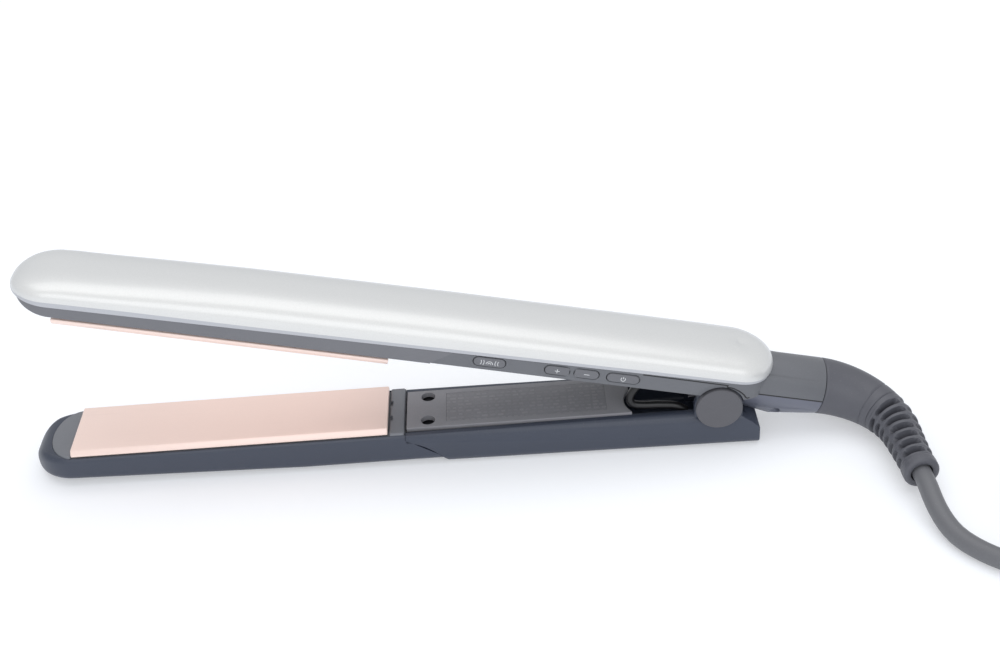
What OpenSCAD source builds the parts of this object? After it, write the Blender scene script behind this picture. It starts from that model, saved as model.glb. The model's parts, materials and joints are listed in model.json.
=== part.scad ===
// Hair straightener with two ceramic plates, open on a table.
// X runs along the arms: the nose is at -X, the lead leaves at +X. Z is up.
// The origin is on the flat underside of the lower arm, straight below the hinge pin.
// Each arm is drawn in its own frame: hinge pin on the Y axis, contact plane of the plates at z = 0.

/* [Arms] */
// Height of the hinge pin above the table
pivot_h = 17.1; // [16:0.1:21]
// Angle between the two arms when they are open
open_angle = 13.6; // [8:0.1:15]
// Tilt of the lower arm, whose underside tapers towards the nose
lay_angle = 0.75; // [0.5:0.05:1.2]
// Width of both arms
arm_w = 28.1; // [26:0.1:36]
// Distance from the hinge pin to the centre of the nose's round
nose_reach = 225.6; // [195:0.1:280]
// Distance from the hinge pin back to the centre of the cover's rear round
rear_reach = 3.6; // [2:0.1:6]
// Wall of the moulded shells
wall = 1.8; // [1.4:0.1:2.2]
// Height of the upper cover above the contact plane, at the handle
cover_top = 17.9; // [16:0.1:21]
// Height of the joint between cover and frame, at the nose
split_z = 7.4; // [6.8:0.1:8.2]
// Rise of that joint from the nose to the hinge
split_rise = 3.1; // [2.4:0.1:3.6]

/* [Plates] */
// Length of each heated plate
plate_l = 110; // [85:1:130]
// Width of a plate's flat face
plate_w = 24.2; // [21:0.1:24.4]
// Bevel along the edge of a plate, sideways
plate_bevel = 1; // [0.6:0.1:1.2]
// Distance from the nose round's centre to the plate's front end
plate_front_gap = 1.2; // [0:0.1:3]
// How far a plate stands proud of its frame
plate_proud = 3.4; // [3:0.1:4.4]
// Thickness of a plate's outer slab
plate_t = 2.4; // [2:0.1:2.6]
// Width of the channel behind a plate, which holds the heater
channel_w = 19; // [15:0.1:20]
// Depth of that channel
channel_h = 3; // [2.6:0.1:3.4]
// Travel of a floating plate
float_travel = 0.8; // [0.4:0.05:0.9]
// Length of the heater
heater_l = 70; // [50:1:80]
// Width of the heater
heater_w = 9; // [6:0.1:12]

/* [Hinge] */
// Diameter of the hinge pin
pin_d = 4; // [3:0.1:5]
// Running clearance around the pin
pin_gap = 0.05; // [0.02:0.01:0.08]
// Diameter of the round hinge caps
cap_d = 16; // [12:0.1:16.4]
// How far a cap stands out of the arm's side
cap_proud = 1.1; // [0.6:0.1:2]
// Thickness of each outer ear, on the lower arm
ear_t = 2.7; // [2.2:0.1:2.8]
// Thickness of each inner knuckle, on the upper arm
knuckle_t = 3.6; // [2.5:0.1:4]
// Radius of an ear's round
ear_r = 8.3; // [7.5:0.1:8.5]
// Gap between pieces that turn against each other
side_gap = 0.3; // [0.2:0.05:0.5]
// Wire diameter of the opening spring
spring_wire = 1.2; // [0.8:0.1:1.4]
// Turns of the opening spring
spring_turns = 7; // [4:1:8]

/* [Controls] */
// Height of the buttons
button_h = 3.4; // [2.6:0.1:3.6]
// How far a button stands out of the side
button_proud = 0.3; // [0.1:0.1:0.8]
// Travel of a button
button_travel = 0.6; // [0.3:0.1:0.6]
// Clearance around a button
button_gap = 0.25; // [0.15:0.05:0.4]
// Length of the boost button
boost_l = 10.8; // [8:0.1:12]
// Length of the plus and minus buttons
step_l = 8.4; // [6:0.1:9]
// Length of the power button
power_l = 11.2; // [9:0.1:12]

/* [Lead] */
// Diameter of the rear housing at the lead's swivel
housing_d = 19.8; // [17:0.1:20]
// Distance from the hinge pin to the rear housing's end
housing_end = 36.5; // [32:0.1:42]
// Height of the swivel's axis above the contact plane
swivel_z = 4.7; // [4.2:0.1:5.4]
// Bore of the swivel
swivel_d = 12; // [10:0.1:13]
// Diameter of the lead
cord_d = 6.5; // [6:0.1:7]
// Pin diameter of the plug
plug_pin_d = 4; // [4:0.1:4.8]
// Distance between the plug's pins
plug_pin_gap = 19; // [18:0.1:19]
// Length of the plug's pins
plug_pin_l = 19; // [15:0.5:19]

/* [Hidden] */
$fn = 48;
big = 600;
eps = 0.01;
fit = 0.1;
hw = arm_w / 2;
tilt = open_angle - lay_angle;
nose_x = -nose_reach;
nose_tip = nose_x - hw;
rear_tip = rear_reach + hw;
plate_x0 = nose_x + plate_front_gap;
plate_x1 = plate_x0 + plate_l;
seam_x = plate_x1 + 6;
channel_inset = 3;
channel_x0 = plate_x0 + channel_inset;
channel_l = plate_l - 2 * channel_inset;
channel_top = plate_t + channel_h;
pad_t = float_travel + 1.2;
pad_l = 8;
pad_inset = 9;
bar_z = channel_top + pad_t;
frame_floor = 1.4;
nose_top = 16.3;
dome_l = 32;
handle_face = 4;
handle_floor = 1.2;
cover_face = 2;
cover_t = 1.6;
cover_hw = hw - 4.1;
tail_x = 14.5;
tail_t = 6.5;
ear_y = hw - 0.95 - ear_t;
knuckle_y = ear_y - side_gap;
knuckle_r = pin_d / 2 + 4;
cap_y = ear_y + ear_t;
housing_r = housing_d / 2;
bottom_x = ear_r + 1;
button_z = 7.2;
loop_hole_x = -35;
loop_hole_l = 12;
loop_y = -8;

function ease(t) = t < 0 ? 0 : t > 1 ? 1 : t * t * (3 - 2 * t);
function unit(v) = v / norm(v);
function split(x) = split_z + split_rise * (x + nose_reach) / nose_reach;
function cover_line(x) = nose_top + (cover_top - nose_top) * ease((x / nose_reach + 0.85) / 0.5);

module upper_arm() translate([0, 0, pivot_h]) rotate([0, tilt, 0]) children();
module lower_arm() translate([0, 0, pivot_h]) rotate([0, -lay_angle, 0]) children();

// Outline of an arm from above: straight sides and a round at each end
module plan(inset = 0) {
    translate([nose_x, 0]) circle(hw - inset);
    translate([rear_reach, 0]) circle(hw - inset);
    translate([nose_x, inset - hw]) square([rear_reach - nose_x, arm_w - 2 * inset]);
}

module plan_block(z0, z1, inset = 0)
    translate([0, 0, z0]) linear_extrude(z1 - z0) plan(inset);

// A solid with a given outline from the side
module side_block(points, w = big)
    rotate([90, 0, 0]) linear_extrude(w, center = true) polygon(points);

// A solid with a given outline along the arm, from x0 to x1
module section_block(points, x0 = -big / 2, x1 = big / 2)
    translate([x0, 0, 0]) rotate([90, 0, 90]) linear_extrude(x1 - x0) polygon(points);

module box(low, high) translate(low) cube(high - low);
module y_disc(r, y0, y1) translate([0, y1, 0]) rotate([90, 0, 0]) cylinder(r = r, h = y1 - y0);
module x_rod(r, x0, x1) translate([x0, 0, 0]) rotate([0, 90, 0]) cylinder(r = r, h = x1 - x0);
module both_sides() { children(); mirror([0, 1, 0]) children(); }

// Round tube along a list of points, with one radius or one for each point
module sweep(path, radii, sides, up) {
    last = len(path) - 1;
    tangents = [for (i = [0:last]) unit(path[min(i + 1, last)] - path[max(i - 1, 0)])];
    rings = [for (i = [0:last], j = [0:sides - 1])
        let (across = unit(cross(tangents[i], up)), lift = cross(across, tangents[i]),
             r = is_list(radii) ? radii[i] : radii, a = 360 * j / sides)
        path[i] + r * (cos(a) * across + sin(a) * lift)];
    walls = [for (i = [0:last - 1], j = [0:sides - 1])
        [i * sides + j, i * sides + (j + 1) % sides,
         (i + 1) * sides + (j + 1) % sides, (i + 1) * sides + j]];
    start_cap = [for (j = [sides - 1:-1:0]) j];
    end_cap = [for (j = [0:sides - 1]) last * sides + j];
    polyhedron(rings, concat(walls, [start_cap, end_cap]));
}

// ---- Upper arm ----

function cover_section(inset) =
    let (base = 5, h = cover_top - base - inset, w = hw - inset, p = 2 / 3)
    [for (t = [0:6:180]) [w * sign(cos(t)) * pow(abs(cos(t)), p), base + h * pow(sin(t), p)]];

function cover_profile(inset, drop) =
    let (start = nose_tip + inset, low = split_z - drop)
    concat([for (t = [0:9:90]) [start + (dome_l - inset) * (1 - cos(t)),
                                low + (nose_top - inset - low) * sin(t)]],
           [for (x = [-0.8, -0.6, -0.45, -0.3, 0.1]) [x * nose_reach, cover_line(x * nose_reach) - inset]],
           [[rear_tip + 5, split(rear_tip + 5) - drop]]);

module cover_block(inset, drop) intersection() {
    plan_block(-1, big / 10, inset);
    section_block(concat([[hw - inset, -1]], cover_section(inset), [[inset - hw, -1]]));
    side_block(cover_profile(inset, drop));
}

// Pearl cover over the whole upper arm
module upper_shell() color([0.86, 0.86, 0.85]) upper_arm() difference() {
    cover_block(0, 0);
    cover_block(wall, 3);
    translate([0, 0, swivel_z]) x_rod(housing_r + fit, rear_reach, big / 4);
}

// Line of the seam between the front frame and the handle frame
upper_seam = [[seam_x + 8, plate_proud - 3], [seam_x + 8, plate_proud + 1],
    [seam_x + 15, split_z + 2], [seam_x + 15, big / 10]];

module channel_opening(z0, z1)
    box([channel_x0 - 2 * fit, -channel_w / 2 - 4 * fit, z0],
        [channel_x0 + channel_l + 2 * fit, channel_w / 2 + 4 * fit, z1]);

// Two bars across a frame, which the float pads press against
module pad_bars() for (x = [plate_x0 + pad_inset, plate_x1 - pad_inset])
    box([x - pad_l / 2, -hw + wall - eps, bar_z], [x + pad_l / 2, hw - wall + eps, bar_z + 1]);

// Pads of silicone between a plate's channel and the bars
module float_pads() for (x = [plate_x0 + pad_inset, plate_x1 - pad_inset])
    box([x - pad_l / 2 + fit, -channel_w / 2 + 2, channel_top],
        [x + pad_l / 2 - fit, channel_w / 2 - 2, bar_z]);

// Heat-resistant frame around the upper plate
module upper_front_frame() color([0.34, 0.35, 0.38]) upper_arm() difference() {
    intersection() {
        plan_block(0, big / 10);
        side_block(concat([[nose_tip - 1, split(nose_tip - 1)], [nose_x - 5, plate_proud]],
            [[upper_seam[1][0], plate_proud], upper_seam[1]],
            [[upper_seam[2][0], split(upper_seam[2][0])]]));
    }
    difference() {
        plan_block(plate_proud + frame_floor, big / 10, wall);
        pad_bars();
    }
    channel_opening(0, plate_proud + frame_floor + eps);
}

// A slab with bevelled edges, and a channel behind it for the heater
module heated_plate() {
    bevel_z = 1.6;
    half = plate_w / 2;
    edge = half + plate_bevel;
    section_block([[-half, 0], [half, 0], [edge, bevel_z], [edge, plate_t], [-edge, plate_t],
        [-edge, bevel_z]], plate_x0, plate_x1);
    difference() {
        box([channel_x0, -channel_w / 2, plate_t - eps], [channel_x0 + channel_l, channel_w / 2, channel_top]);
        box([heater_x0 - fit, -heater_w / 2 - fit, plate_t],
            [heater_x0 + heater_l + fit, heater_w / 2 + fit, channel_top + 1]);
    }
}

heater_x0 = (plate_x0 + plate_x1 - heater_l) / 2;
heater_t = 1.5;
clip_l = 4;
wire_r = 0.7;
fuse_l = 12;
fuse_r = 1;

// Flat ceramic heater held in the channel by two spring clips
module heater() {
    box([heater_x0, -heater_w / 2, plate_t], [heater_x0 + heater_l, heater_w / 2, plate_t + heater_t]);
    for (x = [0.25, 0.75]) translate([heater_x0 + x * heater_l - clip_l / 2, 0, 0])
        box([0, -heater_w / 2, plate_t + heater_t - eps], [clip_l, heater_w / 2, channel_top]);
}

module upper_plate() color([0.92, 0.79, 0.75]) upper_arm() heated_plate();
module upper_heater() color([0.93, 0.93, 0.9]) upper_arm() heater();

// Thermal fuse in its sleeve, on the heater between the clips
module upper_thermal_fuse() color([0.8, 0.78, 0.7]) upper_arm()
    translate([nose_x + plate_l / 2, 0, plate_t + heater_t + fuse_r]) x_rod(fuse_r, -fuse_l / 2, fuse_l / 2);

module upper_float_pads() color([0.75, 0.3, 0.25]) upper_arm() float_pads();

// Buttons: name, centre along the arm, length
boost_x = -81.1;
plus_x = -58.1;
minus_x = -48;
power_x = -35.4;
side_wall_y = wall - hw;
flange_t = 0.6;
flange_w = 0.5;
switch_rest = 0.55;
stem_y = side_wall_y + fit + flange_t + button_travel + switch_rest;

module button_outline(x, l, grow) {
    r = button_h / 2;
    translate([x, 0, button_z]) rotate([90, 0, 0]) linear_extrude(big, center = true) union() {
        translate([r - l / 2, 0]) circle(r + grow);
        translate([l / 2 - r, 0]) circle(r + grow);
        translate([r - l / 2, -r - grow]) square([l - 2 * r, 2 * (r + grow)]);
    }
}

module button(x, l) upper_arm() {
    intersection() {
        button_outline(x, l, 0);
        box([-big, -hw - button_proud, 0], [big, side_wall_y + fit + eps, big]);
    }
    intersection() {
        button_outline(x, l, flange_w);
        box([-big, side_wall_y + fit, handle_face + handle_floor + fit],
            [big, side_wall_y + fit + flange_t, big]);
    }
}

module boost_button() color([0.4, 0.41, 0.44]) button(boost_x, boost_l);
module plus_button() color([0.4, 0.41, 0.44]) button(plus_x, step_l);
module minus_button() color([0.4, 0.41, 0.44]) button(minus_x, step_l);
module power_button() color([0.4, 0.41, 0.44]) button(power_x, power_l);

// Side band of the handle, the inner face, the hinge knuckles and the upper half of the rear housing
module upper_handle_frame() color([0.38, 0.39, 0.43]) upper_arm() difference() {
    union() {
        difference() {
            intersection() {
                plan_block(0, big / 10);
                side_block([[upper_seam[1][0], handle_face], [upper_seam[1][0], upper_seam[1][1]],
                    [upper_seam[2][0], split(upper_seam[2][0])], [rear_tip + 1, split(rear_tip + 1)],
                    [rear_tip + 1, handle_face]]);
            }
            plan_block(handle_face + handle_floor, big / 10, wall);
        }
        intersection() {
            translate([0, 0, swivel_z]) x_rod(housing_r, -ear_r, housing_end);
            box([-big, -big, swivel_z + eps], [big, big, big]);
        }
        both_sides() {
            y_disc(knuckle_r, knuckle_y - knuckle_t, knuckle_y);
            box([-knuckle_r, knuckle_y - knuckle_t, 0], [knuckle_r, knuckle_y, handle_face + eps]);
        }
    }
    difference() {
        translate([0, 0, swivel_z]) x_rod(housing_r - wall, -big, housing_end - housing_face);
        screw_posts(swivel_z, swivel_z + 5);
    }
    box([-big / 2, -housing_r, handle_face + handle_floor], [bottom_x, housing_r, swivel_z + housing_r + 1]);
    translate([0, 0, swivel_z]) x_rod(swivel_d / 2 + pin_gap, housing_end - 4, big);
    both_sides() y_disc(ear_r + side_gap, knuckle_y, big);
    y_disc(pin_d / 2 + pin_gap, -big, big);
    box([loop_hole_x, loop_y - 4, 0], [loop_hole_x + loop_hole_l, 6, handle_face + handle_floor + 1]);
    for (b = [[boost_x, boost_l], [plus_x, step_l], [minus_x, step_l], [power_x, power_l]])
        intersection() {
            button_outline(b[0], b[1], button_gap);
            box([-big, -big, 0], [big, 0, big]);
        }
    for (y = [-screw_y, screw_y]) translate([screw_x, y, 0])
        cylinder(d = screw_d, h = swivel_z + screw_bite + fit);
    box([bottom_x - fit, -housing_r - fit, -big], [big, housing_r + fit, swivel_z]);
}

screw_x = 22;
screw_y = 6.6;
lock_l = 6;
lock_x = housing_end - 6 - lock_l / 2 - 0.3;
lock_w = 7;
lock_travel = 4;
screw_d = 2.4;
screw_head_d = 3.6;
screw_head_h = 1.5;
boss_d = 5.2;
screw_bite = 3;
housing_face = 3;
lock_rib = 1.5;
lock_rib_w = 4.8;

// Round posts for the housing screws, cut to the housing's own round
module screw_posts(z0, z1) intersection() {
    translate([0, 0, swivel_z]) x_rod(housing_r, bottom_x, housing_end);
    for (y = [-screw_y, screw_y]) translate([screw_x, y, z0]) cylinder(d = boss_d, h = z1 - z0);
}

// Lower half of the rear housing, closed in front, with the slot for the hinge lock
module rear_housing() color([0.36, 0.37, 0.41]) upper_arm() difference() {
    intersection() {
        translate([0, 0, swivel_z]) x_rod(housing_r, bottom_x, housing_end);
        box([-big, -big, -big], [big, big, swivel_z - eps]);
    }
    difference() {
        translate([0, 0, swivel_z]) x_rod(housing_r - wall, bottom_x + wall, housing_end - housing_face);
        screw_posts(swivel_z - housing_r, swivel_z);
    }
    translate([0, 0, swivel_z]) x_rod(swivel_d / 2 + pin_gap, housing_end - 4, big);
    box([lock_x - lock_rib - 2 * fit - lock_travel, -lock_rib_w / 2 - 2 * fit, -big],
        [lock_x + lock_rib + 2 * fit, lock_rib_w / 2 + 2 * fit, 0]);
    for (y = [-screw_y, screw_y]) translate([screw_x, y, 0]) {
        cylinder(d = screw_d + 2 * fit, h = big, center = true);
        translate([0, 0, swivel_z - screw_bite - big]) cylinder(d = screw_head_d + 2 * fit, h = big);
    }
}

// Screws that hold the two halves of the rear housing together, sunk from below
module housing_screws() color([0.6, 0.6, 0.62]) upper_arm() for (y = [-screw_y, screw_y])
    translate([screw_x, y, 0]) {
        translate([0, 0, swivel_z - screw_bite - 1]) cylinder(d = screw_d, h = 2 * screw_bite + 1);
        translate([0, 0, swivel_z - screw_bite - screw_head_h - fit]) cylinder(d = screw_head_d, h = screw_head_h);
    }

// Sliding tab that holds the arms shut for storage
module hinge_lock() color([0.36, 0.37, 0.41]) upper_arm() {
    floor_z = swivel_z - sqrt(pow(housing_r - wall, 2) - pow(lock_w / 2, 2)) + fit;
    box([lock_x - lock_l / 2, -lock_w / 2, floor_z], [lock_x + lock_l / 2, lock_w / 2, floor_z + 1]);
    box([lock_x - lock_rib, -lock_rib_w / 2, swivel_z - housing_r - wall],
        [lock_x + lock_rib, lock_rib_w / 2, floor_z + eps]);
}

board_x0 = -92;
board_x1 = -24;
board_y = -8.4;
board_t = 1.6;
board_z0 = handle_face + handle_floor + 0.4;
board_z1 = 13.4;

// Circuit board, on edge behind the buttons
module control_board() color([0.2, 0.42, 0.3]) upper_arm()
    box([board_x0, board_y, board_z0], [board_x1, board_y + board_t, board_z1]);

// Parts on the back of the board: capacitor, thyristor, relay and a chip
module board_parts() color([0.55, 0.5, 0.3]) upper_arm() {
    back = board_y + board_t;
    box([-88, back, 7], [-76, back + 5, 13]);
    box([-70, back, 6.5], [-60, back + 4.4, 12.5]);
    box([-54, back, 7.5], [-47, back + 1.6, 12.5]);
    translate([-40, back + 5, 6]) cylinder(d = 8, h = 7);
    box([-41, back, 6], [-39, back + 2, 9]);
}

switch_w = 5;
switch_t = 1;
switch_r = 1;

// One short-travel switch behind each button
module tact_switches() color([0.15, 0.15, 0.16]) upper_arm()
    for (x = [boost_x, plus_x, minus_x, power_x]) {
        box([x - switch_w / 2, board_y - switch_t, button_z - 1.7], [x + switch_w / 2, board_y, button_z + 1.9]);
        translate([x, 0, button_z]) y_disc(switch_r, stem_y, board_y - switch_t + eps);
    }

// Small lamp beside the power button's switch
module status_light() color([0.9, 0.3, 0.25]) upper_arm()
    translate([power_x - 6.6, 0, button_z + 2.2]) y_disc(1, board_y - 1.6, board_y);

// Heater leads and sensor leads that run from the board to the upper plate's channel
module upper_leads() color([0.8, 0.8, 0.78]) upper_arm() for (y = [2, 5])
    sweep([for (x = [heater_x0 + heater_l + 2, plate_x1 - 14, plate_x1 - 2, plate_x1 + 8, board_x0 - 4, board_x0 + 14])
        [x, y, 11 + 1.5 * cos(6 * x)]], wire_r, 8, [0, 0, 1]);

// ---- Swivel and strain relief, in the swivel's own frame: X along its axis ----

module swivel() upper_arm() translate([0, 0, swivel_z]) children();

// Barrel that turns in the rear housing, with a collar inside it
module swivel_barrel() color([0.25, 0.26, 0.28]) swivel() difference() {
    union() {
        x_rod(swivel_d / 2, housing_end - 6, housing_end + 4);
        x_rod(swivel_d / 2 + 1.4, housing_end - 5, housing_end - 3 - fit);
    }
    x_rod(cord_d / 2 - 1, 0, big);
}

elbow_r = 24.5;
elbow_bend = 86;
boot_l = 21;
boot_end_r = 5.75;
elbow_rings = 14;
boot_rings = 8;
elbow_x = housing_end + side_gap + 0.5;
elbow_path = concat([[housing_end + side_gap, 0, 0]],
    [for (i = [0:elbow_rings]) let (a = elbow_bend * i / elbow_rings)
        [elbow_x + elbow_r * sin(a), -elbow_r * (1 - cos(a)), 0]],
    [for (i = [1:boot_rings]) let (d = boot_l * i / boot_rings)
        [elbow_x + elbow_r * sin(elbow_bend) + d * cos(elbow_bend),
         -elbow_r * (1 - cos(elbow_bend)) - d * sin(elbow_bend), 0]]);
elbow_radii = [for (i = [0:len(elbow_path) - 1]) let (t = i / (len(elbow_path) - 1))
    housing_r - (housing_r - boot_end_r) * (0.35 * t + 0.65 * ease(1.15 * t))];

// Elbow and tapered boot in one soft moulding
module strain_relief() color([0.24, 0.25, 0.28]) swivel() difference() {
    sweep(elbow_path, elbow_radii, 24, [0, 0, 1]);
    x_rod(swivel_d / 2, 0, housing_end + 4);
}

// ---- Lower arm ----

keel_r = 3;
shoulder = 3.6;
shoulder_z = -6.6;

// Outline of the lower arm along its length: flat below, rounded corners, shoulders above
function lower_section(inset) =
    let (w = hw - inset, low = -pivot_h + inset, r = keel_r - inset)
    concat([for (a = [180:9:270]) [-w + r + r * cos(a), low + r + r * sin(a)]],
           [for (a = [270:9:360]) [w - r + r * cos(a), low + r + r * sin(a)]],
           [for (a = [0:15:90]) [w - shoulder + shoulder * cos(a), shoulder_z + shoulder * sin(a)]],
           [for (a = [90:15:180]) [-w + shoulder + shoulder * cos(a), shoulder_z + shoulder * sin(a)]]);

// Seam between the front shell and the handle shell, from the groove down and back
seam_run = 13.8;
seam_z = -6;
lower_seam = concat([[seam_x, 5]],
    [for (t = [0:0.1:1]) [seam_x + seam_run * t, seam_z - 8.5 * pow(t, 1.8)]],
    [[seam_x + seam_run + 8, -30]]);
front_rise = 0.55;
rise_x = seam_x + 22;
front_top = plate_proud + 0.5;

// The handle's underside lies flat on the table, and the front's rises a little to the nose
module handle_solid(inset) rotate([0, lay_angle, 0]) section_block(lower_section(inset));
module front_solid(inset) rotate([0, lay_angle, 0]) translate([rise_x, 0, -pivot_h])
    rotate([0, front_rise, 0]) translate([-rise_x, 0, pivot_h]) section_block(lower_section(inset));

function nose_profile(inset) =
    let (mid = -9.2, tip = nose_tip + inset, up = 5.3, down = 5.4 - inset, up_run = 7, down_run = 12)
    concat([[seam_x + 40, -30], [nose_x + 2, -30]],
        [for (a = [270:-15:180]) [tip + down_run + down_run * cos(a), mid + down * sin(a)]],
        [for (a = [165:-15:90]) [tip + up_run + up_run * cos(a), mid + up * sin(a)]],
        [[seam_x + 40, mid + up]]);

// Outer moulding of the front of the lower arm, a shallow boat with a round nose
module lower_front_shell() color([0.27, 0.3, 0.37]) lower_arm() difference() {
    union() {
        difference() {
            intersection() {
                plan_block(-30, -front_top);
                front_solid(0);
                side_block(nose_profile(0));
                side_block(concat(lower_seam, [[-big, -30], [-big, 5]]));
            }
            intersection() {
                plan_block(-30, 5, wall);
                front_solid(wall);
                side_block(nose_profile(wall));
            }
        }
        for (y = [-cover_screw_y, cover_screw_y]) translate([cover_screw_x, y, boss_z])
            cylinder(d = cover_boss_d - 1, h = -cover_face - cover_boss_h - 1 - 2 * fit - boss_z);
    }
    for (y = [-cover_screw_y, cover_screw_y]) translate([cover_screw_x, y, boss_z + 1.4])
        cylinder(d = cover_shank_d + 2 * fit, h = 20);
    translate([0, 0, -plate_proud - frame_floor - fit]) linear_extrude(20) frame_outline(-fit);
}

frame_inset = 0.9;
frame_nose = 8.6;
frame_rim = 1.4;

// Outline of the lower front frame: straight sides with a short oval nose
module frame_outline(inset) {
    w = hw - frame_inset - inset;
    polygon(concat([[seam_x - inset, w], [seam_x - inset, -w]],
        [for (a = [270:-9:90]) [nose_x + 1 + (frame_nose - inset) * cos(a), w * sin(a)]]));
}

// Heat-resistant frame around the lower plate
module lower_front_frame() color([0.38, 0.39, 0.42]) lower_arm() difference() {
    union() {
        translate([0, 0, -plate_proud - frame_floor]) linear_extrude(frame_floor) frame_outline(0);
        mirror([0, 0, 1]) difference() {
            translate([0, 0, plate_proud + frame_floor - eps]) linear_extrude(bar_z + 1 - plate_proud - frame_floor)
                frame_outline(frame_rim - 2 * fit);
            difference() {
                translate([0, 0, plate_proud]) linear_extrude(20) frame_outline(2 * frame_rim - 2 * fit);
                pad_bars_inner();
            }
        }
    }
    mirror([0, 0, 1]) channel_opening(0, plate_proud + frame_floor + eps);
}

module pad_bars_inner() for (x = [plate_x0 + pad_inset, plate_x1 - pad_inset])
    box([x - pad_l / 2, -hw + 3, bar_z], [x + pad_l / 2, hw - 3, bar_z + 1]);

module flipped() lower_arm() mirror([0, 0, 1]) children();
module lower_plate() color([0.92, 0.79, 0.75]) flipped() heated_plate();
module lower_heater() color([0.93, 0.93, 0.9]) flipped() heater();
module lower_float_pads() color([0.75, 0.3, 0.25]) flipped() float_pads();

// Temperature sensor on the lower heater
module lower_thermistor() color([0.8, 0.78, 0.7]) flipped()
    translate([plate_x0 + plate_l / 2, 0, plate_t + heater_t]) cylinder(d = 3, h = 1.4);

cover_x1 = loop_hole_x;
cover_screw_x = seam_x + 8;
cover_screw_y = 6.7;
cover_screw_d = 5;
cover_head_d = 4.4;
cover_head_h = 1.4;
cover_shank_d = 2.4;
cover_well = 3.6;
cover_boss_d = 6.6;
cover_boss_h = 4;
cover_x0 = seam_x + 1;
boss_z = -pivot_h + wall + 0.6;

// Outer moulding of the lower handle, with the hinge ears and the opening stop
module lower_handle_shell() color([0.27, 0.3, 0.37]) lower_arm() difference() {
    union() {
        difference() {
            intersection() {
                handle_solid(0);
                side_block([[seam_x, -3], [tail_x - 9, -3], [tail_x - 3, -7], [tail_x, -10],
                    [tail_x, -30], [seam_x, -30]]);
                side_block(concat([for (i = [len(lower_seam) - 1:-1:0]) lower_seam[i]], [[big, 5], [big, -30]]));
            }
            intersection() {
                handle_solid(wall);
                box([-big, -cap_y, -30], [tail_x - tail_t, cap_y, 5]);
            }
            box([-big, -cover_hw - fit, -6], [big, cover_hw + fit, 5]);
            y_disc(knuckle_clear, -ear_y, ear_y);
        }
        both_sides() {
            y_disc(ear_r, ear_y, cap_y);
            box([-ear_r, ear_y, -pivot_h + wall], [ear_r, cap_y, 0]);
        }
        box([stop_x - 3.5, -5, -pivot_h + wall - 0.5], [stop_x, 5, stop_z]);
    }
    rotate([0, open_angle, 0]) translate([0, 0, swivel_z]) x_rod(housing_r + fit, bottom_x - side_gap, big);
    both_sides() y_disc(cap_d / 2 + side_gap, cap_y, big);
    y_disc(pin_d / 2, -big, big);
}

knuckle_clear = knuckle_r + side_gap;
stop_x = 12.5;
stop_s = (stop_x - (swivel_z - housing_r) * sin(open_angle)) / cos(open_angle);
stop_z = -stop_s * sin(open_angle) + (swivel_z - housing_r) * cos(open_angle) - fit;

// Inner face of the lower handle, with two screw holes and a shallow field for the rating plate
module lower_inner_cover() color([0.37, 0.38, 0.41]) lower_arm() difference() {
    union() {
        box([cover_x0, -cover_hw, -cover_face - cover_t], [cover_x1, cover_hw, -cover_face]);
        for (y = [-cover_screw_y, cover_screw_y]) translate([cover_screw_x, y, -cover_face - cover_boss_h - 1])
            cylinder(d = cover_boss_d, h = cover_boss_h);
    }
    for (y = [-cover_screw_y, cover_screw_y]) translate([cover_screw_x, y, 0]) {
        translate([0, 0, -cover_face - cover_well]) cylinder(d = cover_screw_d, h = 20);
        translate([0, 0, -20]) cylinder(d = cover_shank_d + 4 * fit, h = 30);
    }
    box([label_x0 - fit, -label_w / 2 - fit, -cover_face - label_deep], [label_x1 + fit, label_w / 2 + fit, 0]);
}

label_x0 = cover_screw_x + 6.4;
label_x1 = -38;
label_w = 16;
label_deep = 0.4;

// Thin blank plate in its field
module rating_plate() color([0.33, 0.34, 0.37]) lower_arm()
    box([label_x0, -label_w / 2, -cover_face - label_deep], [label_x1, label_w / 2, -cover_face - fit / 2]);

// Two screws sunk in the inner face
module cover_screws() color([0.55, 0.55, 0.57]) lower_arm() for (y = [-cover_screw_y, cover_screw_y])
    translate([cover_screw_x, y, 0]) {
        translate([0, 0, -cover_face - cover_well]) cylinder(d = cover_head_d, h = cover_head_h);
        translate([0, 0, -cover_face - 9]) cylinder(d = cover_shank_d, h = 9 - cover_well + fit);
    }

// Leads from the hinge to the lower plate's channel
module lower_leads() color([0.8, 0.8, 0.78]) lower_arm() for (y = [-3, 0])
    sweep([for (x = [loop_hole_x + 4, -60, -80, seam_x - 2, plate_x1 - 14, heater_x0 + heater_l + 2])
        [x, y, -10.5 + 1.2 * cos(6 * x)]], wire_r, 8, [0, 0, 1]);

// ---- Hinge ----

module hinge_pin() color([0.75, 0.75, 0.77]) translate([0, 0, pivot_h])
    y_disc(pin_d / 2, -cap_y + 0.2, cap_y - 0.2);

// Torsion spring that opens the arms: a stack of turns with a leg to each arm
module hinge_spring() color([0.7, 0.7, 0.72]) translate([0, 0, pivot_h]) {
    spring_r = pin_d / 2 + 0.4 + spring_wire / 2;
    leg_l = 9;
    leg_y = 2.4;
    pitch = spring_wire + 0.1;
    for (i = [0:spring_turns - 1]) translate([0, (i - (spring_turns - 1) / 2) * pitch, 0])
        rotate([90, 0, 0]) rotate_extrude() translate([spring_r, 0]) circle(d = spring_wire + 0.12);
    rotate([0, tilt, 0]) translate([-leg_l, leg_y, spring_r]) x_rod(spring_wire / 2, 0, leg_l);
    rotate([0, -lay_angle, 0]) translate([-leg_l, -leg_y, -spring_r]) x_rod(spring_wire / 2, 0, leg_l);
}

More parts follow.
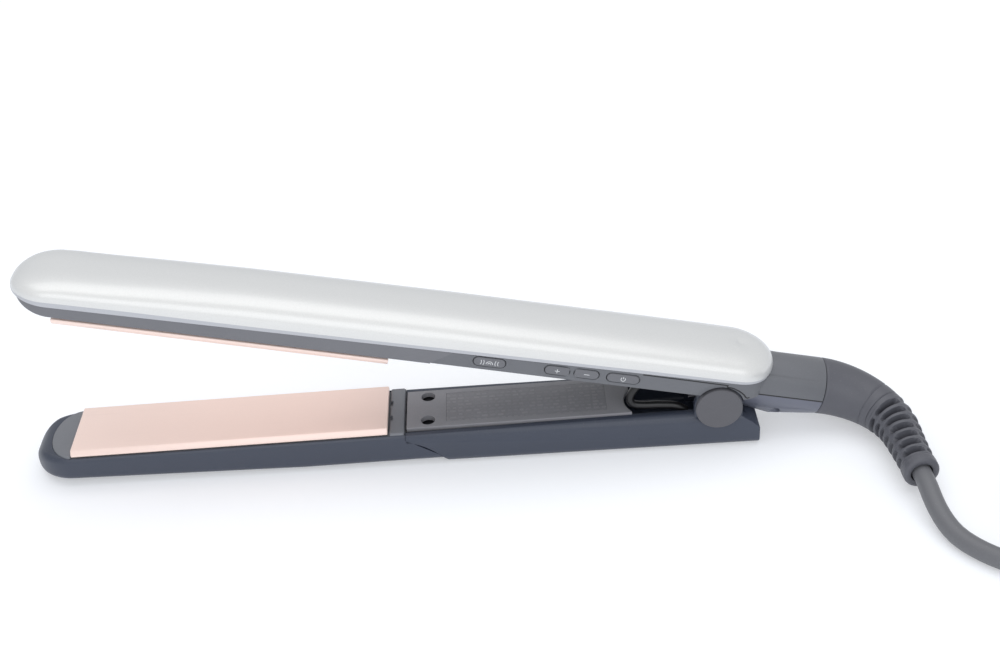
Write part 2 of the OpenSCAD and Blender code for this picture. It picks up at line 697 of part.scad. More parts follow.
module hinge_cap() y_disc(cap_d / 2, cap_y, hw + cap_proud);
module hinge_cap_front() color([0.35, 0.35, 0.37]) translate([0, 0, pivot_h]) mirror([0, 1, 0]) hinge_cap();
module hinge_cap_back() color([0.35, 0.35, 0.37]) translate([0, 0, pivot_h]) hinge_cap();

// Sleeved leads that cross from the upper handle to the lower one beside the hinge
loop_path = [[-25.5, -8, 26.6], [-27.6, -8, 24], [-29.6, -8, 20.8], [-30, -8, 18], [-28.6, -8, 16.2],
    [-25, -8, 15.6], [-20, -8, 15.4], [-14, -8, 14.6], [-10.5, -8, 12.4]];
loop_r = 1.4;
module lead_loop() color([0.2, 0.2, 0.22]) sweep(loop_path, loop_r, 10, [0, 1, 0]);

// ---- Free lead, hank and plug ----

cord_z = cord_d / 2 + 0.05;
cord_path = [[62.2, -45.6, 7.6], [62.5, -50, 7.1], [63, -55, 6], [64, -61, 4.5], [66, -67, 3.5],
    [69.5, -73, cord_z], [74.5, -78.5, cord_z], [80.5, -83, cord_z], [87, -86.5, cord_z],
    [94, -89.3, cord_z], [101, -91.3, cord_z], [108, -92.7, cord_z]];
hank_x0 = 96;
hank_l = 174;
hank_y = -69;
hank_fold = 29.4;
hank_h = 3 * cord_d + 0.3;
waist = 17.8;
tail_path = [[252, -80.6, 16.2], [261, -80.4, 16.2], [269, -80.2, 14.9], [276, -80.1, 12.2],
    [283, -80, 9], [289, -80, 7.1]];
plug_x = 298;
plug_y = -80;
plug_t = 13.7;
plug_l = 25;
plug_half = 17.5;
plug_neck = 8;
plug_taper = 12;
sleeve_r = 5;
sleeve_l = 9;

module cord_tube() color([0.22, 0.22, 0.24]) sweep(cord_path, cord_d / 2, 10, [0, 0, 1]);
module cord_tail() color([0.22, 0.22, 0.24]) sweep(tail_path, cord_d / 2, 10, [0, 0, 1]);

// Half width of the hank along its length, drawn in at the tie
function hank_half(u) = hank_fold - (hank_fold - waist) * pow(cos(90 * max(-1, min(1, u))), 2);

// Folded lead, one solid of its outer shape
module cord_hank() color([0.22, 0.22, 0.24]) {
    run = hank_l / 2 - hank_fold;
    right = concat([for (i = [-8:7]) [run * i / 8, hank_half(i / 8)]],
        [for (a = [90:-10:-90]) [run + hank_fold * cos(a), hank_fold * sin(a)]]);
    left = [for (i = [-7:8]) [-run * i / 8, -hank_half(i / 8)]];
    translate([hank_x0 + hank_l / 2, hank_y, 0]) linear_extrude(hank_h)
        polygon(concat(right, left, [for (a = [260:-10:100]) [hank_fold * cos(a) - run, hank_fold * sin(a)]]));
}

tie_l = 9;
tie_t = 1;

// Strap around the hank's waist
module cord_tie() color([0.1, 0.1, 0.11]) translate([hank_x0 + hank_l / 2 - tie_l / 2, hank_y, 0])
    difference() {
        box([0, -waist - tie_t, 0], [tie_l, waist + tie_t, hank_h + 2 * tie_t]);
        box([-1, -waist, tie_t], [tie_l + 1, waist, hank_h + tie_t]);
    }

// Flat two-pin plug body, lying on its broad side
module plug_body() color([0.1, 0.1, 0.11]) translate([plug_x, plug_y, 0]) {
    linear_extrude(plug_t) polygon([[0, -plug_neck], [plug_taper, -plug_half], [plug_l, -plug_half],
        [plug_l, plug_half], [plug_taper, plug_half], [0, plug_neck]]);
    translate([0, 0, plug_t / 2]) x_rod(sleeve_r, -sleeve_l, eps);
}

module plug_pins() color([0.8, 0.8, 0.78]) translate([plug_x + plug_l, plug_y, plug_t / 2])
    for (y = [-plug_pin_gap / 2, plug_pin_gap / 2]) translate([0, y, 0]) x_rod(plug_pin_d / 2, 0, plug_pin_l);

upper_shell();
upper_front_frame();
upper_handle_frame();
upper_plate();
upper_heater();
upper_thermal_fuse();
upper_float_pads();
control_board();
board_parts();
tact_switches();
boost_button();
plus_button();
minus_button();
power_button();
status_light();
rear_housing();
housing_screws();
hinge_lock();
upper_leads();
swivel_barrel();
strain_relief();
lower_front_shell();
lower_front_frame();
lower_handle_shell();
lower_inner_cover();
cover_screws();
rating_plate();
lower_plate();
lower_heater();
lower_thermistor();
lower_float_pads();
lower_leads();
hinge_pin();
hinge_spring();
hinge_cap_front();
hinge_cap_back();
lead_loop();
cord_tube();
cord_hank();
cord_tie();
cord_tail();
plug_body();
plug_pins();
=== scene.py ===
import bpy
import json
from math import cos, pi, radians, sin, sqrt
from mathutils import Matrix, Vector

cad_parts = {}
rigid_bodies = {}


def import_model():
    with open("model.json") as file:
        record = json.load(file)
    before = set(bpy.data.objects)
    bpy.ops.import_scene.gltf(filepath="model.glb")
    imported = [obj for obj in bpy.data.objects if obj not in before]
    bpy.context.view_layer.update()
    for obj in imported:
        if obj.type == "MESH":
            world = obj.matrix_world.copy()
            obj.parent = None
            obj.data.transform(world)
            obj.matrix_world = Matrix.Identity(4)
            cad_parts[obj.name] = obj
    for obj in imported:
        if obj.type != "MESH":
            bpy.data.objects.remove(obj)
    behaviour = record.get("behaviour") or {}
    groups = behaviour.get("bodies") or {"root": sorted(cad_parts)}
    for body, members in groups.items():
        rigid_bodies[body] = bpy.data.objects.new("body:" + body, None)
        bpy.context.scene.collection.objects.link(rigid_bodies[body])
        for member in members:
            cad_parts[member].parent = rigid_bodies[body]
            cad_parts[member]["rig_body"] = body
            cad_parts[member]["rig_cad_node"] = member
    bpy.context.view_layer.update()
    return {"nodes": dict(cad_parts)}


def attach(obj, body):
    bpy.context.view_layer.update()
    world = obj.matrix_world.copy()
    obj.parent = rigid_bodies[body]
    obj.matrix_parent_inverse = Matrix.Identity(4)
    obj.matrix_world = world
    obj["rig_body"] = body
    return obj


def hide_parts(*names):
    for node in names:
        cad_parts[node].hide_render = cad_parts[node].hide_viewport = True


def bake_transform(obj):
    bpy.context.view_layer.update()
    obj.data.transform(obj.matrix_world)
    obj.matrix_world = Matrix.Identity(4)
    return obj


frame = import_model()
nodes = frame["nodes"]

# Every length below is in millimetres until placeIn turns it to metres in the row frame.
# Arm frames: hinge pin on the Y axis, plates' contact plane at z = 0.
pivotHeight = 17.1
shrink = Matrix.Scale(0.001, 4)
places = {
    "row": shrink,
    "upper": shrink @ Matrix.Translation((0, 0, pivotHeight)) @ Matrix.Rotation(radians(12.85), 4, "Y"),
    "lower": shrink @ Matrix.Translation((0, 0, pivotHeight)) @ Matrix.Rotation(radians(-0.75), 4, "Y"),
}
armWidth = {"half": 14.05, "noseX": -225.6, "rearX": 3.6}
noseTip = armWidth["noseX"] - armWidth["half"]


def clearPick():
    if bpy.context.object and bpy.context.object.mode != "OBJECT":
        bpy.ops.object.mode_set(mode="OBJECT")
    bpy.ops.object.select_all(action="DESELECT")


def pick(*objects):  # the last one is the active object
    clearPick()
    for o in objects:
        o.select_set(True)
    bpy.context.view_layer.objects.active = objects[-1]


def ease(t):
    t = max(0.0, min(1.0, t))
    return t * t * (3 - 2 * t)


def along(table, x):  # value at x on a table of (x, value), in a straight line between its rows
    for (x0, v0), (x1, v1) in zip(table, table[1:]):
        if x <= x1:
            return v0 + (v1 - v0) * max(0.0, (x - x0) / (x1 - x0))
    return table[-1][1]


def editAll(obj):  # into edit mode, with everything selected
    pick(obj)
    bpy.ops.object.mode_set(mode="EDIT")
    bpy.ops.mesh.select_all(action="SELECT")


def mergeSkin(obj, nearest=0.002):
    editAll(obj)
    bpy.ops.mesh.remove_doubles(threshold=nearest)
    bpy.ops.mesh.normals_make_consistent(inside=False)
    bpy.ops.object.mode_set(mode="OBJECT")


def skin(name, columns, rows, place):  # a grid whose points are moved to place(column, row)
    clearPick()
    bpy.ops.mesh.primitive_grid_add(x_subdivisions=columns - 1, y_subdivisions=rows - 1, size=2)
    obj = bpy.context.object
    obj.name = name
    for v in obj.data.vertices:
        column = round((v.co.x + 1) * (columns - 1) / 2)
        row = round((v.co.y + 1) * (rows - 1) / 2)
        v.co = place(column, row)
    mergeSkin(obj)
    return obj


def applyModifier(obj, kind, **settings):
    pick(obj)
    modifier = obj.modifiers.new(kind.title(), kind)
    for key, value in settings.items():
        setattr(modifier, key, value)
    bpy.ops.object.modifier_apply(modifier=modifier.name)


def thicken(obj, wall):  # a wall towards the inside, whichever way the open skin's faces point
    middle = sum((v.co for v in obj.data.vertices), Vector()) / len(obj.data.vertices)
    outward = sum((p.center - middle).dot(p.normal) * p.area for p in obj.data.polygons) > 0
    applyModifier(obj, "SOLIDIFY", thickness=wall, offset=-1 if outward else 1)
    mergeSkin(obj, 0.0005)


def closeHoles(obj):
    editAll(obj)
    bpy.ops.mesh.fill_holes(sides=0)
    bpy.ops.mesh.normals_make_consistent(inside=False)
    bpy.ops.object.mode_set(mode="OBJECT")


def cutWith(obj, cutter):
    applyModifier(obj, "BOOLEAN", object=cutter, operation="DIFFERENCE", solver="EXACT")
    bpy.data.objects.remove(cutter, do_unlink=True)


def block(low, high):
    clearPick()
    low, high = Vector(low), Vector(high)
    bpy.ops.mesh.primitive_cube_add(size=1, location=(low + high) / 2, scale=high - low)
    bpy.ops.object.transform_apply(location=True, rotation=True, scale=True)
    return bpy.context.object


def rod(radius, start, end, sides=48):  # a cylinder between two points
    clearPick()
    start, end = Vector(start), Vector(end)
    turn = Vector((0, 0, 1)).rotation_difference(end - start).to_euler()
    bpy.ops.mesh.primitive_cylinder_add(vertices=sides, radius=radius, depth=(end - start).length,
                                        location=(start + end) / 2, rotation=turn)
    bpy.ops.object.transform_apply(location=True, rotation=True, scale=True)
    return bpy.context.object


def joinPieces(*objects):
    pick(*objects)
    bpy.ops.object.join()
    return bpy.context.object


def bevelEdges(obj, width, segments, angle):
    applyModifier(obj, "BEVEL", width=width, segments=segments, limit_method="ANGLE", angle_limit=radians(angle))


def placeIn(obj, arm, body, material=None, standsFor=(), angle=35):
    obj.data.transform(places[arm])
    return settle(obj, body, material, standsFor, angle)


def settle(obj, body, material=None, standsFor=(), angle=35):
    pick(obj)
    bpy.ops.object.shade_smooth_by_angle(angle=radians(angle))
    if material:
        obj.data.materials.clear()
        obj.data.materials.append(material)
    if body:
        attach(obj, body)
    if standsFor:
        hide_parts(*standsFor)
    return obj


def refined(nodeName, name, body, material, bevel=0.2, angle=32):
    # a copy of a CAD node with its flat faces merged, its edges softened and its curves smooth
    source = nodes[nodeName]
    obj = source.copy()
    obj.data = source.data.copy()
    obj.name = name
    bpy.context.scene.collection.objects.link(obj)
    obj.parent = None
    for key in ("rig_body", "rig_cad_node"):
        del obj[key]
    editAll(obj)
    bpy.ops.mesh.remove_doubles(threshold=1e-6)
    bpy.ops.mesh.dissolve_limited(angle_limit=radians(0.6))
    bpy.ops.object.mode_set(mode="OBJECT")
    if bevel:
        applyModifier(obj, "BEVEL", width=bevel * 0.001, segments=2, limit_method="ANGLE",
                      angle_limit=radians(angle), use_clamp_overlap=False, harden_normals=False)
    return settle(obj, body, material, (nodeName,), angle)


# Finishes

def paint(red, green, blue):  # a screen colour, 0 to 255, as the shader's linear colour
    def linear(c):
        c /= 255
        return c / 12.92 if c <= 0.04045 else ((c + 0.055) / 1.055) ** 2.4
    return (linear(red), linear(green), linear(blue), 1)


def newGroup(name, inputs, outputs):
    group = bpy.data.node_groups.new(name, "ShaderNodeTree")
    for label, kind, value in inputs:
        socket = group.interface.new_socket(name=label, in_out="INPUT", socket_type=kind)
        socket.default_value = value
    for label, kind in outputs:
        group.interface.new_socket(name=label, in_out="OUTPUT", socket_type=kind)
    return group, group.nodes.new("NodeGroupInput"), group.nodes.new("NodeGroupOutput")


def mathNode(tree, operation, a, b, c=None):
    node = tree.nodes.new("ShaderNodeMath")
    node.operation = operation
    for socket, value in zip(node.inputs, (a, b, c)):
        if value is None:
            continue
        if isinstance(value, (int, float)):
            socket.default_value = value
        else:
            tree.links.new(value, socket)
    return node.outputs[0]


def noiseNode(tree, vector, scale, detail=2.0, roughness=0.5):
    node = tree.nodes.new("ShaderNodeTexNoise")
    node.inputs["Detail"].default_value = detail
    node.inputs["Roughness"].default_value = roughness
    if vector is not None:
        tree.links.new(vector, node.inputs["Vector"])
    if isinstance(scale, (int, float)):
        node.inputs["Scale"].default_value = scale
    else:
        tree.links.new(scale, node.inputs["Scale"])
    return node.outputs["Fac"]


def tinted(tree, color, factor):  # a colour made lighter or darker
    node = tree.nodes.new("ShaderNodeHueSaturation")
    tree.links.new(color, node.inputs["Color"])
    tree.links.new(factor, node.inputs["Value"])
    return node.outputs["Color"]


def makeGrain():  # moulded surface: slow patches of tone, and a fine grain in the height
    group, given, result = newGroup("mouldedGrain", [
        ("Color", "NodeSocketColor", (0.1, 0.1, 0.1, 1)), ("Tone Shift", "NodeSocketFloat", 0.15),
        ("Patch Scale", "NodeSocketFloat", 60), ("Grain Scale", "NodeSocketFloat", 3000),
        ("Roughness", "NodeSocketFloat", 0.5), ("Rough Swing", "NodeSocketFloat", 0.15)],
        [("Color", "NodeSocketColor"), ("Roughness", "NodeSocketFloat"), ("Height", "NodeSocketFloat")])
    link = group.links.new
    spot = group.nodes.new("ShaderNodeTexCoord").outputs["Object"]
    patch = noiseNode(group, spot, given.outputs["Patch Scale"], 4)
    grain = noiseNode(group, spot, given.outputs["Grain Scale"], 3, 0.65)
    patchSwing = mathNode(group, "SUBTRACT", patch, 0.5)
    grainSwing = mathNode(group, "SUBTRACT", grain, 0.5)
    tone = mathNode(group, "MULTIPLY_ADD", patchSwing, given.outputs["Tone Shift"], 1.0)
    fine = mathNode(group, "MULTIPLY_ADD", grainSwing, given.outputs["Tone Shift"], tone)
    link(tinted(group, given.outputs["Color"], fine), result.inputs["Color"])
    rough = mathNode(group, "MULTIPLY_ADD", patchSwing, given.outputs["Rough Swing"], given.outputs["Roughness"])
    rough = mathNode(group, "MULTIPLY_ADD", grainSwing, given.outputs["Rough Swing"], rough)
    link(rough, result.inputs["Roughness"])
    link(grain, result.inputs["Height"])
    return group


def makeScuffs():  # long fine scratches along the arm and soft finger smudges, as two masks
    group, given, result = newGroup("handledScuffs", [
        ("Stretch", "NodeSocketVector", (60, 2400, 2400)), ("Smudge Scale", "NodeSocketFloat", 45)],
        [("Scratches", "NodeSocketFloat"), ("Smudges", "NodeSocketFloat")])
    link = group.links.new
    spot = group.nodes.new("ShaderNodeTexCoord").outputs["Object"]
    stretch = group.nodes.new("ShaderNodeVectorMath")
    stretch.operation = "MULTIPLY"
    link(spot, stretch.inputs[0])
    link(given.outputs["Stretch"], stretch.inputs[1])
    lines = noiseNode(group, stretch.outputs[0], 1.0, 2, 0.7)
    sharp = mathNode(group, "SUBTRACT", lines, 0.62)
    link(mathNode(group, "MULTIPLY", mathNode(group, "MAXIMUM", sharp, 0.0), 5.0), result.inputs["Scratches"])
    smudge = noiseNode(group, spot, given.outputs["Smudge Scale"], 5, 0.6)
    soft = mathNode(group, "MAXIMUM", mathNode(group, "SUBTRACT", smudge, 0.45), 0.0)
    link(mathNode(group, "MULTIPLY", soft, 3.0), result.inputs["Smudges"])
    return group


def makeDust():  # pale specks that lie on faces that look up
    group, given, result = newGroup("settledDust", [
        ("Color", "NodeSocketColor", (0.1, 0.1, 0.1, 1)), ("Dust Color", "NodeSocketColor", (0.5, 0.5, 0.52, 1)),
        ("Amount", "NodeSocketFloat", 0.3)], [("Color", "NodeSocketColor")])
    link = group.links.new
    spot = group.nodes.new("ShaderNodeTexCoord").outputs["Object"]
    facing = group.nodes.new("ShaderNodeSeparateXYZ")
    link(group.nodes.new("ShaderNodeNewGeometry").outputs["Normal"], facing.inputs[0])
    specks = noiseNode(group, spot, 1900, 2, 0.5)
    few = mathNode(group, "MAXIMUM", mathNode(group, "SUBTRACT", specks, 0.63), 0.0)
    few = mathNode(group, "MULTIPLY", few, 6.0)
    up = mathNode(group, "MAXIMUM", facing.outputs["Z"], 0.15)
    mask = mathNode(group, "MULTIPLY", mathNode(group, "MULTIPLY", few, up), given.outputs["Amount"])
    mix = group.nodes.new("ShaderNodeMix")
    mix.data_type = "RGBA"
    link(mask, mix.inputs["Factor"])
    link(given.outputs["Color"], mix.inputs["A"])
    link(given.outputs["Dust Color"], mix.inputs["B"])
    link(mix.outputs["Result"], result.inputs["Color"])
    return group


grainGroup, scuffGroup, dustGroup = makeGrain(), makeScuffs(), makeDust()


def placeGroup(tree, group, **values):
    node = tree.nodes.new("ShaderNodeGroup")
    node.node_tree = group
    for key, value in values.items():
        node.inputs[key.replace("_", " ")].default_value = value
    return node


# Colour, tone shift, patch scale, grain scale, roughness, rough swing, bump in mm, and the shader's own values
finishes = {
    "heatFrame": ((112, 113, 118), 0.16, 70, 2600, 0.52, 0.14, 0.02, {}),
    "handlePlastic": ((104, 106, 111), 0.16, 70, 2400, 0.5, 0.14, 0.025, {}),
    "housingPlastic": ((104, 107, 120), 0.14, 60, 2600, 0.38, 0.14, 0.012, {}),
    "lowerPlastic": ((58, 64, 78), 0.16, 60, 2200, 0.4, 0.16, 0.02, {}),
    "innerFace": ((134, 134, 139), 0.2, 90, 1700, 0.62, 0.12, 0.05, {}),
    "frameRim": ((114, 117, 123), 0.14, 80, 2200, 0.5, 0.12, 0.02, {}),
    "buttonPlastic": ((106, 107, 112), 0.12, 150, 2600, 0.48, 0.12, 0.01, {}),
    "capPlastic": ((88, 88, 93), 0.12, 90, 2600, 0.55, 0.12, 0.015, {}),
    "bootRubber": ((86, 87, 94), 0.16, 110, 2300, 0.5, 0.16, 0.02, {}),
    "sleeve": ((20, 20, 22), 0.14, 120, 2600, 0.35, 0.14, 0.012, {}),
    "cordSheath": ((104, 105, 109), 0.14, 40, 2200, 0.46, 0.14, 0.012, {}),
    "tieStrap": ((30, 30, 33), 0.3, 260, 1500, 0.85, 0.1, 0.12, {"Sheen Weight": 0.4}),
    "plugPlastic": ((40, 41, 45), 0.14, 90, 2000, 0.5, 0.14, 0.03, {}),
    "silicone": ((178, 78, 62), 0.1, 120, 1800, 0.6, 0.1, 0.02, {}),
    "heaterCeramic": ((232, 230, 222), 0.1, 160, 1500, 0.7, 0.12, 0.03, {}),
    "sensorGlass": ((196, 178, 130), 0.2, 300, 1800, 0.3, 0.1, 0.01, {}),
    "leadInsulation": ((205, 203, 196), 0.14, 160, 2200, 0.5, 0.12, 0.02, {}),
    "boardPart": ((52, 54, 60), 0.3, 220, 1800, 0.5, 0.2, 0.03, {}),
    "lampLens": ((210, 60, 40), 0.12, 240, 1800, 0.2, 0.08, 0.005, {"Transmission Weight": 0.25}),
}


def newFinish(name):
    material = bpy.data.materials.new(name)
    material.use_nodes = True
    return material, material.node_tree, material.node_tree.nodes["Principled BSDF"]


def addBump(tree, shader, height, strength, depth):  # depth in millimetres
    bump = tree.nodes.new("ShaderNodeBump")
    bump.inputs["Strength"].default_value = strength
    bump.inputs["Distance"].default_value = depth * 0.001
    tree.links.new(height, bump.inputs["Height"])
    tree.links.new(bump.outputs["Normal"], shader.inputs["Normal"])


def plainFinish(name, dust=0.12, scuffs=0.3):
    color, shift, patch, grain, rough, swing, bumpSize, extra = finishes[name]
    material, tree, shader = newFinish(name)
    surface = placeGroup(tree, grainGroup, Color=paint(*color), Tone_Shift=shift, Patch_Scale=patch,
                         Grain_Scale=grain, Roughness=rough, Rough_Swing=swing)
    worn = placeGroup(tree, scuffGroup)
    dusty = placeGroup(tree, dustGroup, Amount=dust)
    tree.links.new(surface.outputs["Color"], dusty.inputs["Color"])
    tree.links.new(dusty.outputs["Color"], shader.inputs["Base Color"])
    scratched = mathNode(tree, "MULTIPLY_ADD", worn.outputs["Scratches"], 0.12 * scuffs,
                         surface.outputs["Roughness"])
    smudged = mathNode(tree, "MULTIPLY_ADD", worn.outputs["Smudges"], -0.22 * scuffs, scratched)
    tree.links.new(smudged, shader.inputs["Roughness"])
    addBump(tree, shader, surface.outputs["Height"], 0.6, bumpSize)
    for key, value in extra.items():
        shader.inputs[key].default_value = value
    return material


def pearlFinish(name, color, grazingShade, rough, metal, coat):  # pearl paint: fine flakes under a clear coat
    material, tree, shader = newFinish(name)
    surface = placeGroup(tree, grainGroup, Color=paint(*color), Tone_Shift=0.03, Patch_Scale=22,
                         Grain_Scale=2600, Roughness=rough, Rough_Swing=0.05)
    flakes = tree.nodes.new("ShaderNodeTexVoronoi")
    flakes.inputs["Scale"].default_value = 4200
    spot = tree.nodes.new("ShaderNodeTexCoord")
    tree.links.new(spot.outputs["Object"], flakes.inputs["Vector"])
    grey = tree.nodes.new("ShaderNodeRGBToBW")
    tree.links.new(flakes.outputs["Color"], grey.inputs[0])
    tone = mathNode(tree, "MULTIPLY_ADD", mathNode(tree, "SUBTRACT", grey.outputs[0], 0.5), 0.07, 1.0)
    # faces seen edge-on are mixed toward a darker second colour: painted shade that darkens the far side of the
    # dome, standing in for darker reflections
    facing = tree.nodes.new("ShaderNodeLayerWeight")
    facing.inputs["Blend"].default_value = 0.35
    mix = tree.nodes.new("ShaderNodeMix")
    mix.data_type = "RGBA"
    tree.links.new(facing.outputs["Facing"], mix.inputs["Factor"])
    tree.links.new(tinted(tree, surface.outputs["Color"], tone), mix.inputs["A"])
    mix.inputs["B"].default_value = paint(*grazingShade)
    tree.links.new(mix.outputs["Result"], shader.inputs["Base Color"])
    worn = placeGroup(tree, scuffGroup, Smudge_Scale=25)
    smudged = mathNode(tree, "MULTIPLY_ADD", worn.outputs["Smudges"], 0.06, surface.outputs["Roughness"])
    tree.links.new(smudged, shader.inputs["Roughness"])
    addBump(tree, shader, grey.outputs[0], 0.25, 0.01)
    shader.inputs["Metallic"].default_value = metal
    shader.inputs["Coat Weight"].default_value = coat
    shader.inputs["Coat Roughness"].default_value = 0.12
    return material


def plateFinish(name):  # glazed ceramic plate: satin pink with slow streaks along its length
    material, tree, shader = newFinish(name)
    surface = placeGroup(tree, grainGroup, Color=paint(247, 223, 213), Tone_Shift=0.05, Patch_Scale=26,
                         Grain_Scale=1400, Roughness=0.36, Rough_Swing=0.1)
    worn = placeGroup(tree, scuffGroup, Stretch=(25, 700, 700), Smudge_Scale=30)
    tone = mathNode(tree, "MULTIPLY_ADD", worn.outputs["Scratches"], -0.035, 1.0)
    tree.links.new(tinted(tree, surface.outputs["Color"], tone), shader.inputs["Base Color"])
    smudged = mathNode(tree, "MULTIPLY_ADD", worn.outputs["Smudges"], 0.12, surface.outputs["Roughness"])
    tree.links.new(smudged, shader.inputs["Roughness"])
    addBump(tree, shader, surface.outputs["Height"], 0.3, 0.02)
    shader.inputs["Metallic"].default_value = 0.15
    shader.inputs["Coat Weight"].default_value = 0.25
    shader.inputs["Coat Roughness"].default_value = 0.25
    return material


def metalFinish(name, color, rough, stretch=(900, 900, 60)):
    material, tree, shader = newFinish(name)
    surface = placeGroup(tree, grainGroup, Color=paint(*color), Tone_Shift=0.12, Patch_Scale=160,
                         Grain_Scale=2600, Roughness=rough, Rough_Swing=0.16)
    worn = placeGroup(tree, scuffGroup, Stretch=stretch, Smudge_Scale=200)
    tree.links.new(surface.outputs["Color"], shader.inputs["Base Color"])
    rougher = mathNode(tree, "MULTIPLY_ADD", worn.outputs["Scratches"], 0.2, surface.outputs["Roughness"])
    tree.links.new(rougher, shader.inputs["Roughness"])
    addBump(tree, shader, worn.outputs["Scratches"], 0.3, 0.02)
    shader.inputs["Metallic"].default_value = 1
    return material


def boardFinish(name):  # green board with copper tracks under its lacquer
    material, tree, shader = newFinish(name)
    spot = tree.nodes.new("ShaderNodeTexCoord")
    tracks = tree.nodes.new("ShaderNodeTexBrick")
    tracks.inputs["Scale"].default_value = 220
    tracks.inputs["Color1"].default_value = paint(30, 92, 62)
    tracks.inputs["Color2"].default_value = paint(36, 104, 70)
    tracks.inputs["Mortar"].default_value = paint(120, 120, 62)
    tracks.inputs["Mortar Size"].default_value = 0.03
    turn = tree.nodes.new("ShaderNodeMapping")
    turn.inputs["Rotation"].default_value = (radians(90), 0, 0)
    tree.links.new(spot.outputs["Object"], turn.inputs["Vector"])
    tree.links.new(turn.outputs["Vector"], tracks.inputs["Vector"])
    tree.links.new(tracks.outputs["Color"], shader.inputs["Base Color"])
    bump = tree.nodes.new("ShaderNodeBump")
    bump.inputs["Distance"].default_value = 0.00005
    tree.links.new(tracks.outputs["Fac"], bump.inputs["Height"])
    tree.links.new(bump.outputs["Normal"], shader.inputs["Normal"])
    shader.inputs["Roughness"].default_value = 0.35
    return material


def foilFinish(name):  # blank rating plate: rows of faint raised dashes, no letters
    material = plainFinish(name, 0.2, 0.2)
    tree = material.node_tree
    shader = tree.nodes["Principled BSDF"]
    bump = shader.inputs["Normal"].links[0].from_node
    spot = tree.nodes.new("ShaderNodeTexCoord")
    dashes = tree.nodes.new("ShaderNodeTexBrick")
    dashes.offset = 0.37
    dashes.squash = 1.3
    dashes.inputs["Scale"].default_value = 420
    dashes.inputs["Brick Width"].default_value = 0.9
    dashes.inputs["Row Height"].default_value = 0.75
    dashes.inputs["Mortar Size"].default_value = 0.2
    dashes.inputs["Color1"].default_value = (0, 0, 0, 1)
    dashes.inputs["Color2"].default_value = (1, 1, 1, 1)
    dashes.inputs["Mortar"].default_value = (0, 0, 0, 1)
    mark = tree.nodes.new("ShaderNodeRGBToBW")
    tree.links.new(dashes.outputs["Color"], mark.inputs[0])
    dashes.inputs["Mortar Smooth"].default_value = 0.3
    tree.links.new(spot.outputs["Object"], dashes.inputs["Vector"])
    second = tree.nodes.new("ShaderNodeBump")
    second.inputs["Strength"].default_value = 0.8
    second.inputs["Distance"].default_value = 0.00012
    tree.links.new(mark.outputs[0], second.inputs["Height"])
    color = shader.inputs["Base Color"].links[0].from_socket
    tone = mathNode(tree, "MULTIPLY_ADD", mark.outputs[0], 0.22, 1.0)
    tree.links.new(tinted(tree, color, tone), shader.inputs["Base Color"])
    tree.links.new(bump.outputs["Normal"], second.inputs["Normal"])
    tree.links.new(second.outputs["Normal"], shader.inputs["Normal"])
    return material


finishes["ratingFoil"] = ((124, 124, 129), 0.2, 90, 1700, 0.55, 0.12, 0.03, {})
look = {name: plainFinish(name) for name in finishes if name != "ratingFoil"}
look["ratingFoil"] = foilFinish("ratingFoil")
# the last colour of each pearl finish is painted shade for faces seen edge-on
look["pearlCover"] = pearlFinish("pearlCover", (222, 222, 220), (192, 195, 198), 0.34, 0.2, 0.35)
# a darker, less glossy copy of the pearl paint: painted shade for the band below the cover's crease
look["rimSilverPaintedShade"] = pearlFinish("rimSilverPaintedShade", (186, 188, 193), (176, 178, 184), 0.45, 0.1, 0.1)
look["ceramicPlate"] = plateFinish("ceramicPlate")
look["brightSteel"] = metalFinish("brightSteel", (200, 200, 204), 0.28)
look["springSteel"] = metalFinish("springSteel", (150, 150, 156), 0.35)
look["darkScrew"] = metalFinish("darkScrew", (60, 60, 64), 0.45)
look["plugPin"] = metalFinish("plugPin", (206, 200, 186), 0.22, (60, 1800, 1800))
look["circuitBoard"] = boardFinish("circuitBoard")
symbolInk = plainFinish("buttonPlastic", 0, 0)
symbolInk.name = "symbolInk"
symbolInk.node_tree.nodes["Group"].inputs["Color"].default_value = paint(212, 214, 216)
look["symbolInk"] = symbolInk
print("finishes made", len(look))

# Camera

cameraData = bpy.data.cameras.new("mainCamera")
cameraData.lens = 51.6
cameraData.clip_start = 0.01
camera = bpy.data.objects.new("mainCamera", cameraData)
bpy.context.scene.collection.objects.link(camera)
camera.location = (-0.0717, -0.4018, 0.3209)
camera.rotation_euler = (radians(55.36), radians(3.02), radians(-1.84))
bpy.context.scene.camera = camera

# Free lead: boot mouth, table, hank of four and a half turns, plug

lead = {"radius": 3.25, "length": 1800, "sides": 14, "step": 2.6,
        "mouth": (62.66, -43.74, 7.63), "centre": (183, -69), "run": 57.6,
        "outer": 26.15, "inner": 19.5, "waistOuter": 14.55, "waistInner": 7.95, "layer": 6.55, "lift": 1.1,
        "lies": 3.3}
leadRoute = [(62.1, -36, 7.75), (62.4, -40, 7.69), (62.66, -43.74, 7.63), (62.9, -47, 7.45), (63.1, -51, 6.9),
             (63.5, -56, 5.8), (64.6, -62, 4.5), (66.6, -68, 3.6), (69.9, -73.4, 3.3), (74.7, -78.6, 3.3),
             (80.5, -83, 3.3), (87, -86.5, 3.3), (94, -89.6, 3.3), (101, -92, 3.3), (108, -93.9, 3.3),
             (116, -94.9, 3.3)]


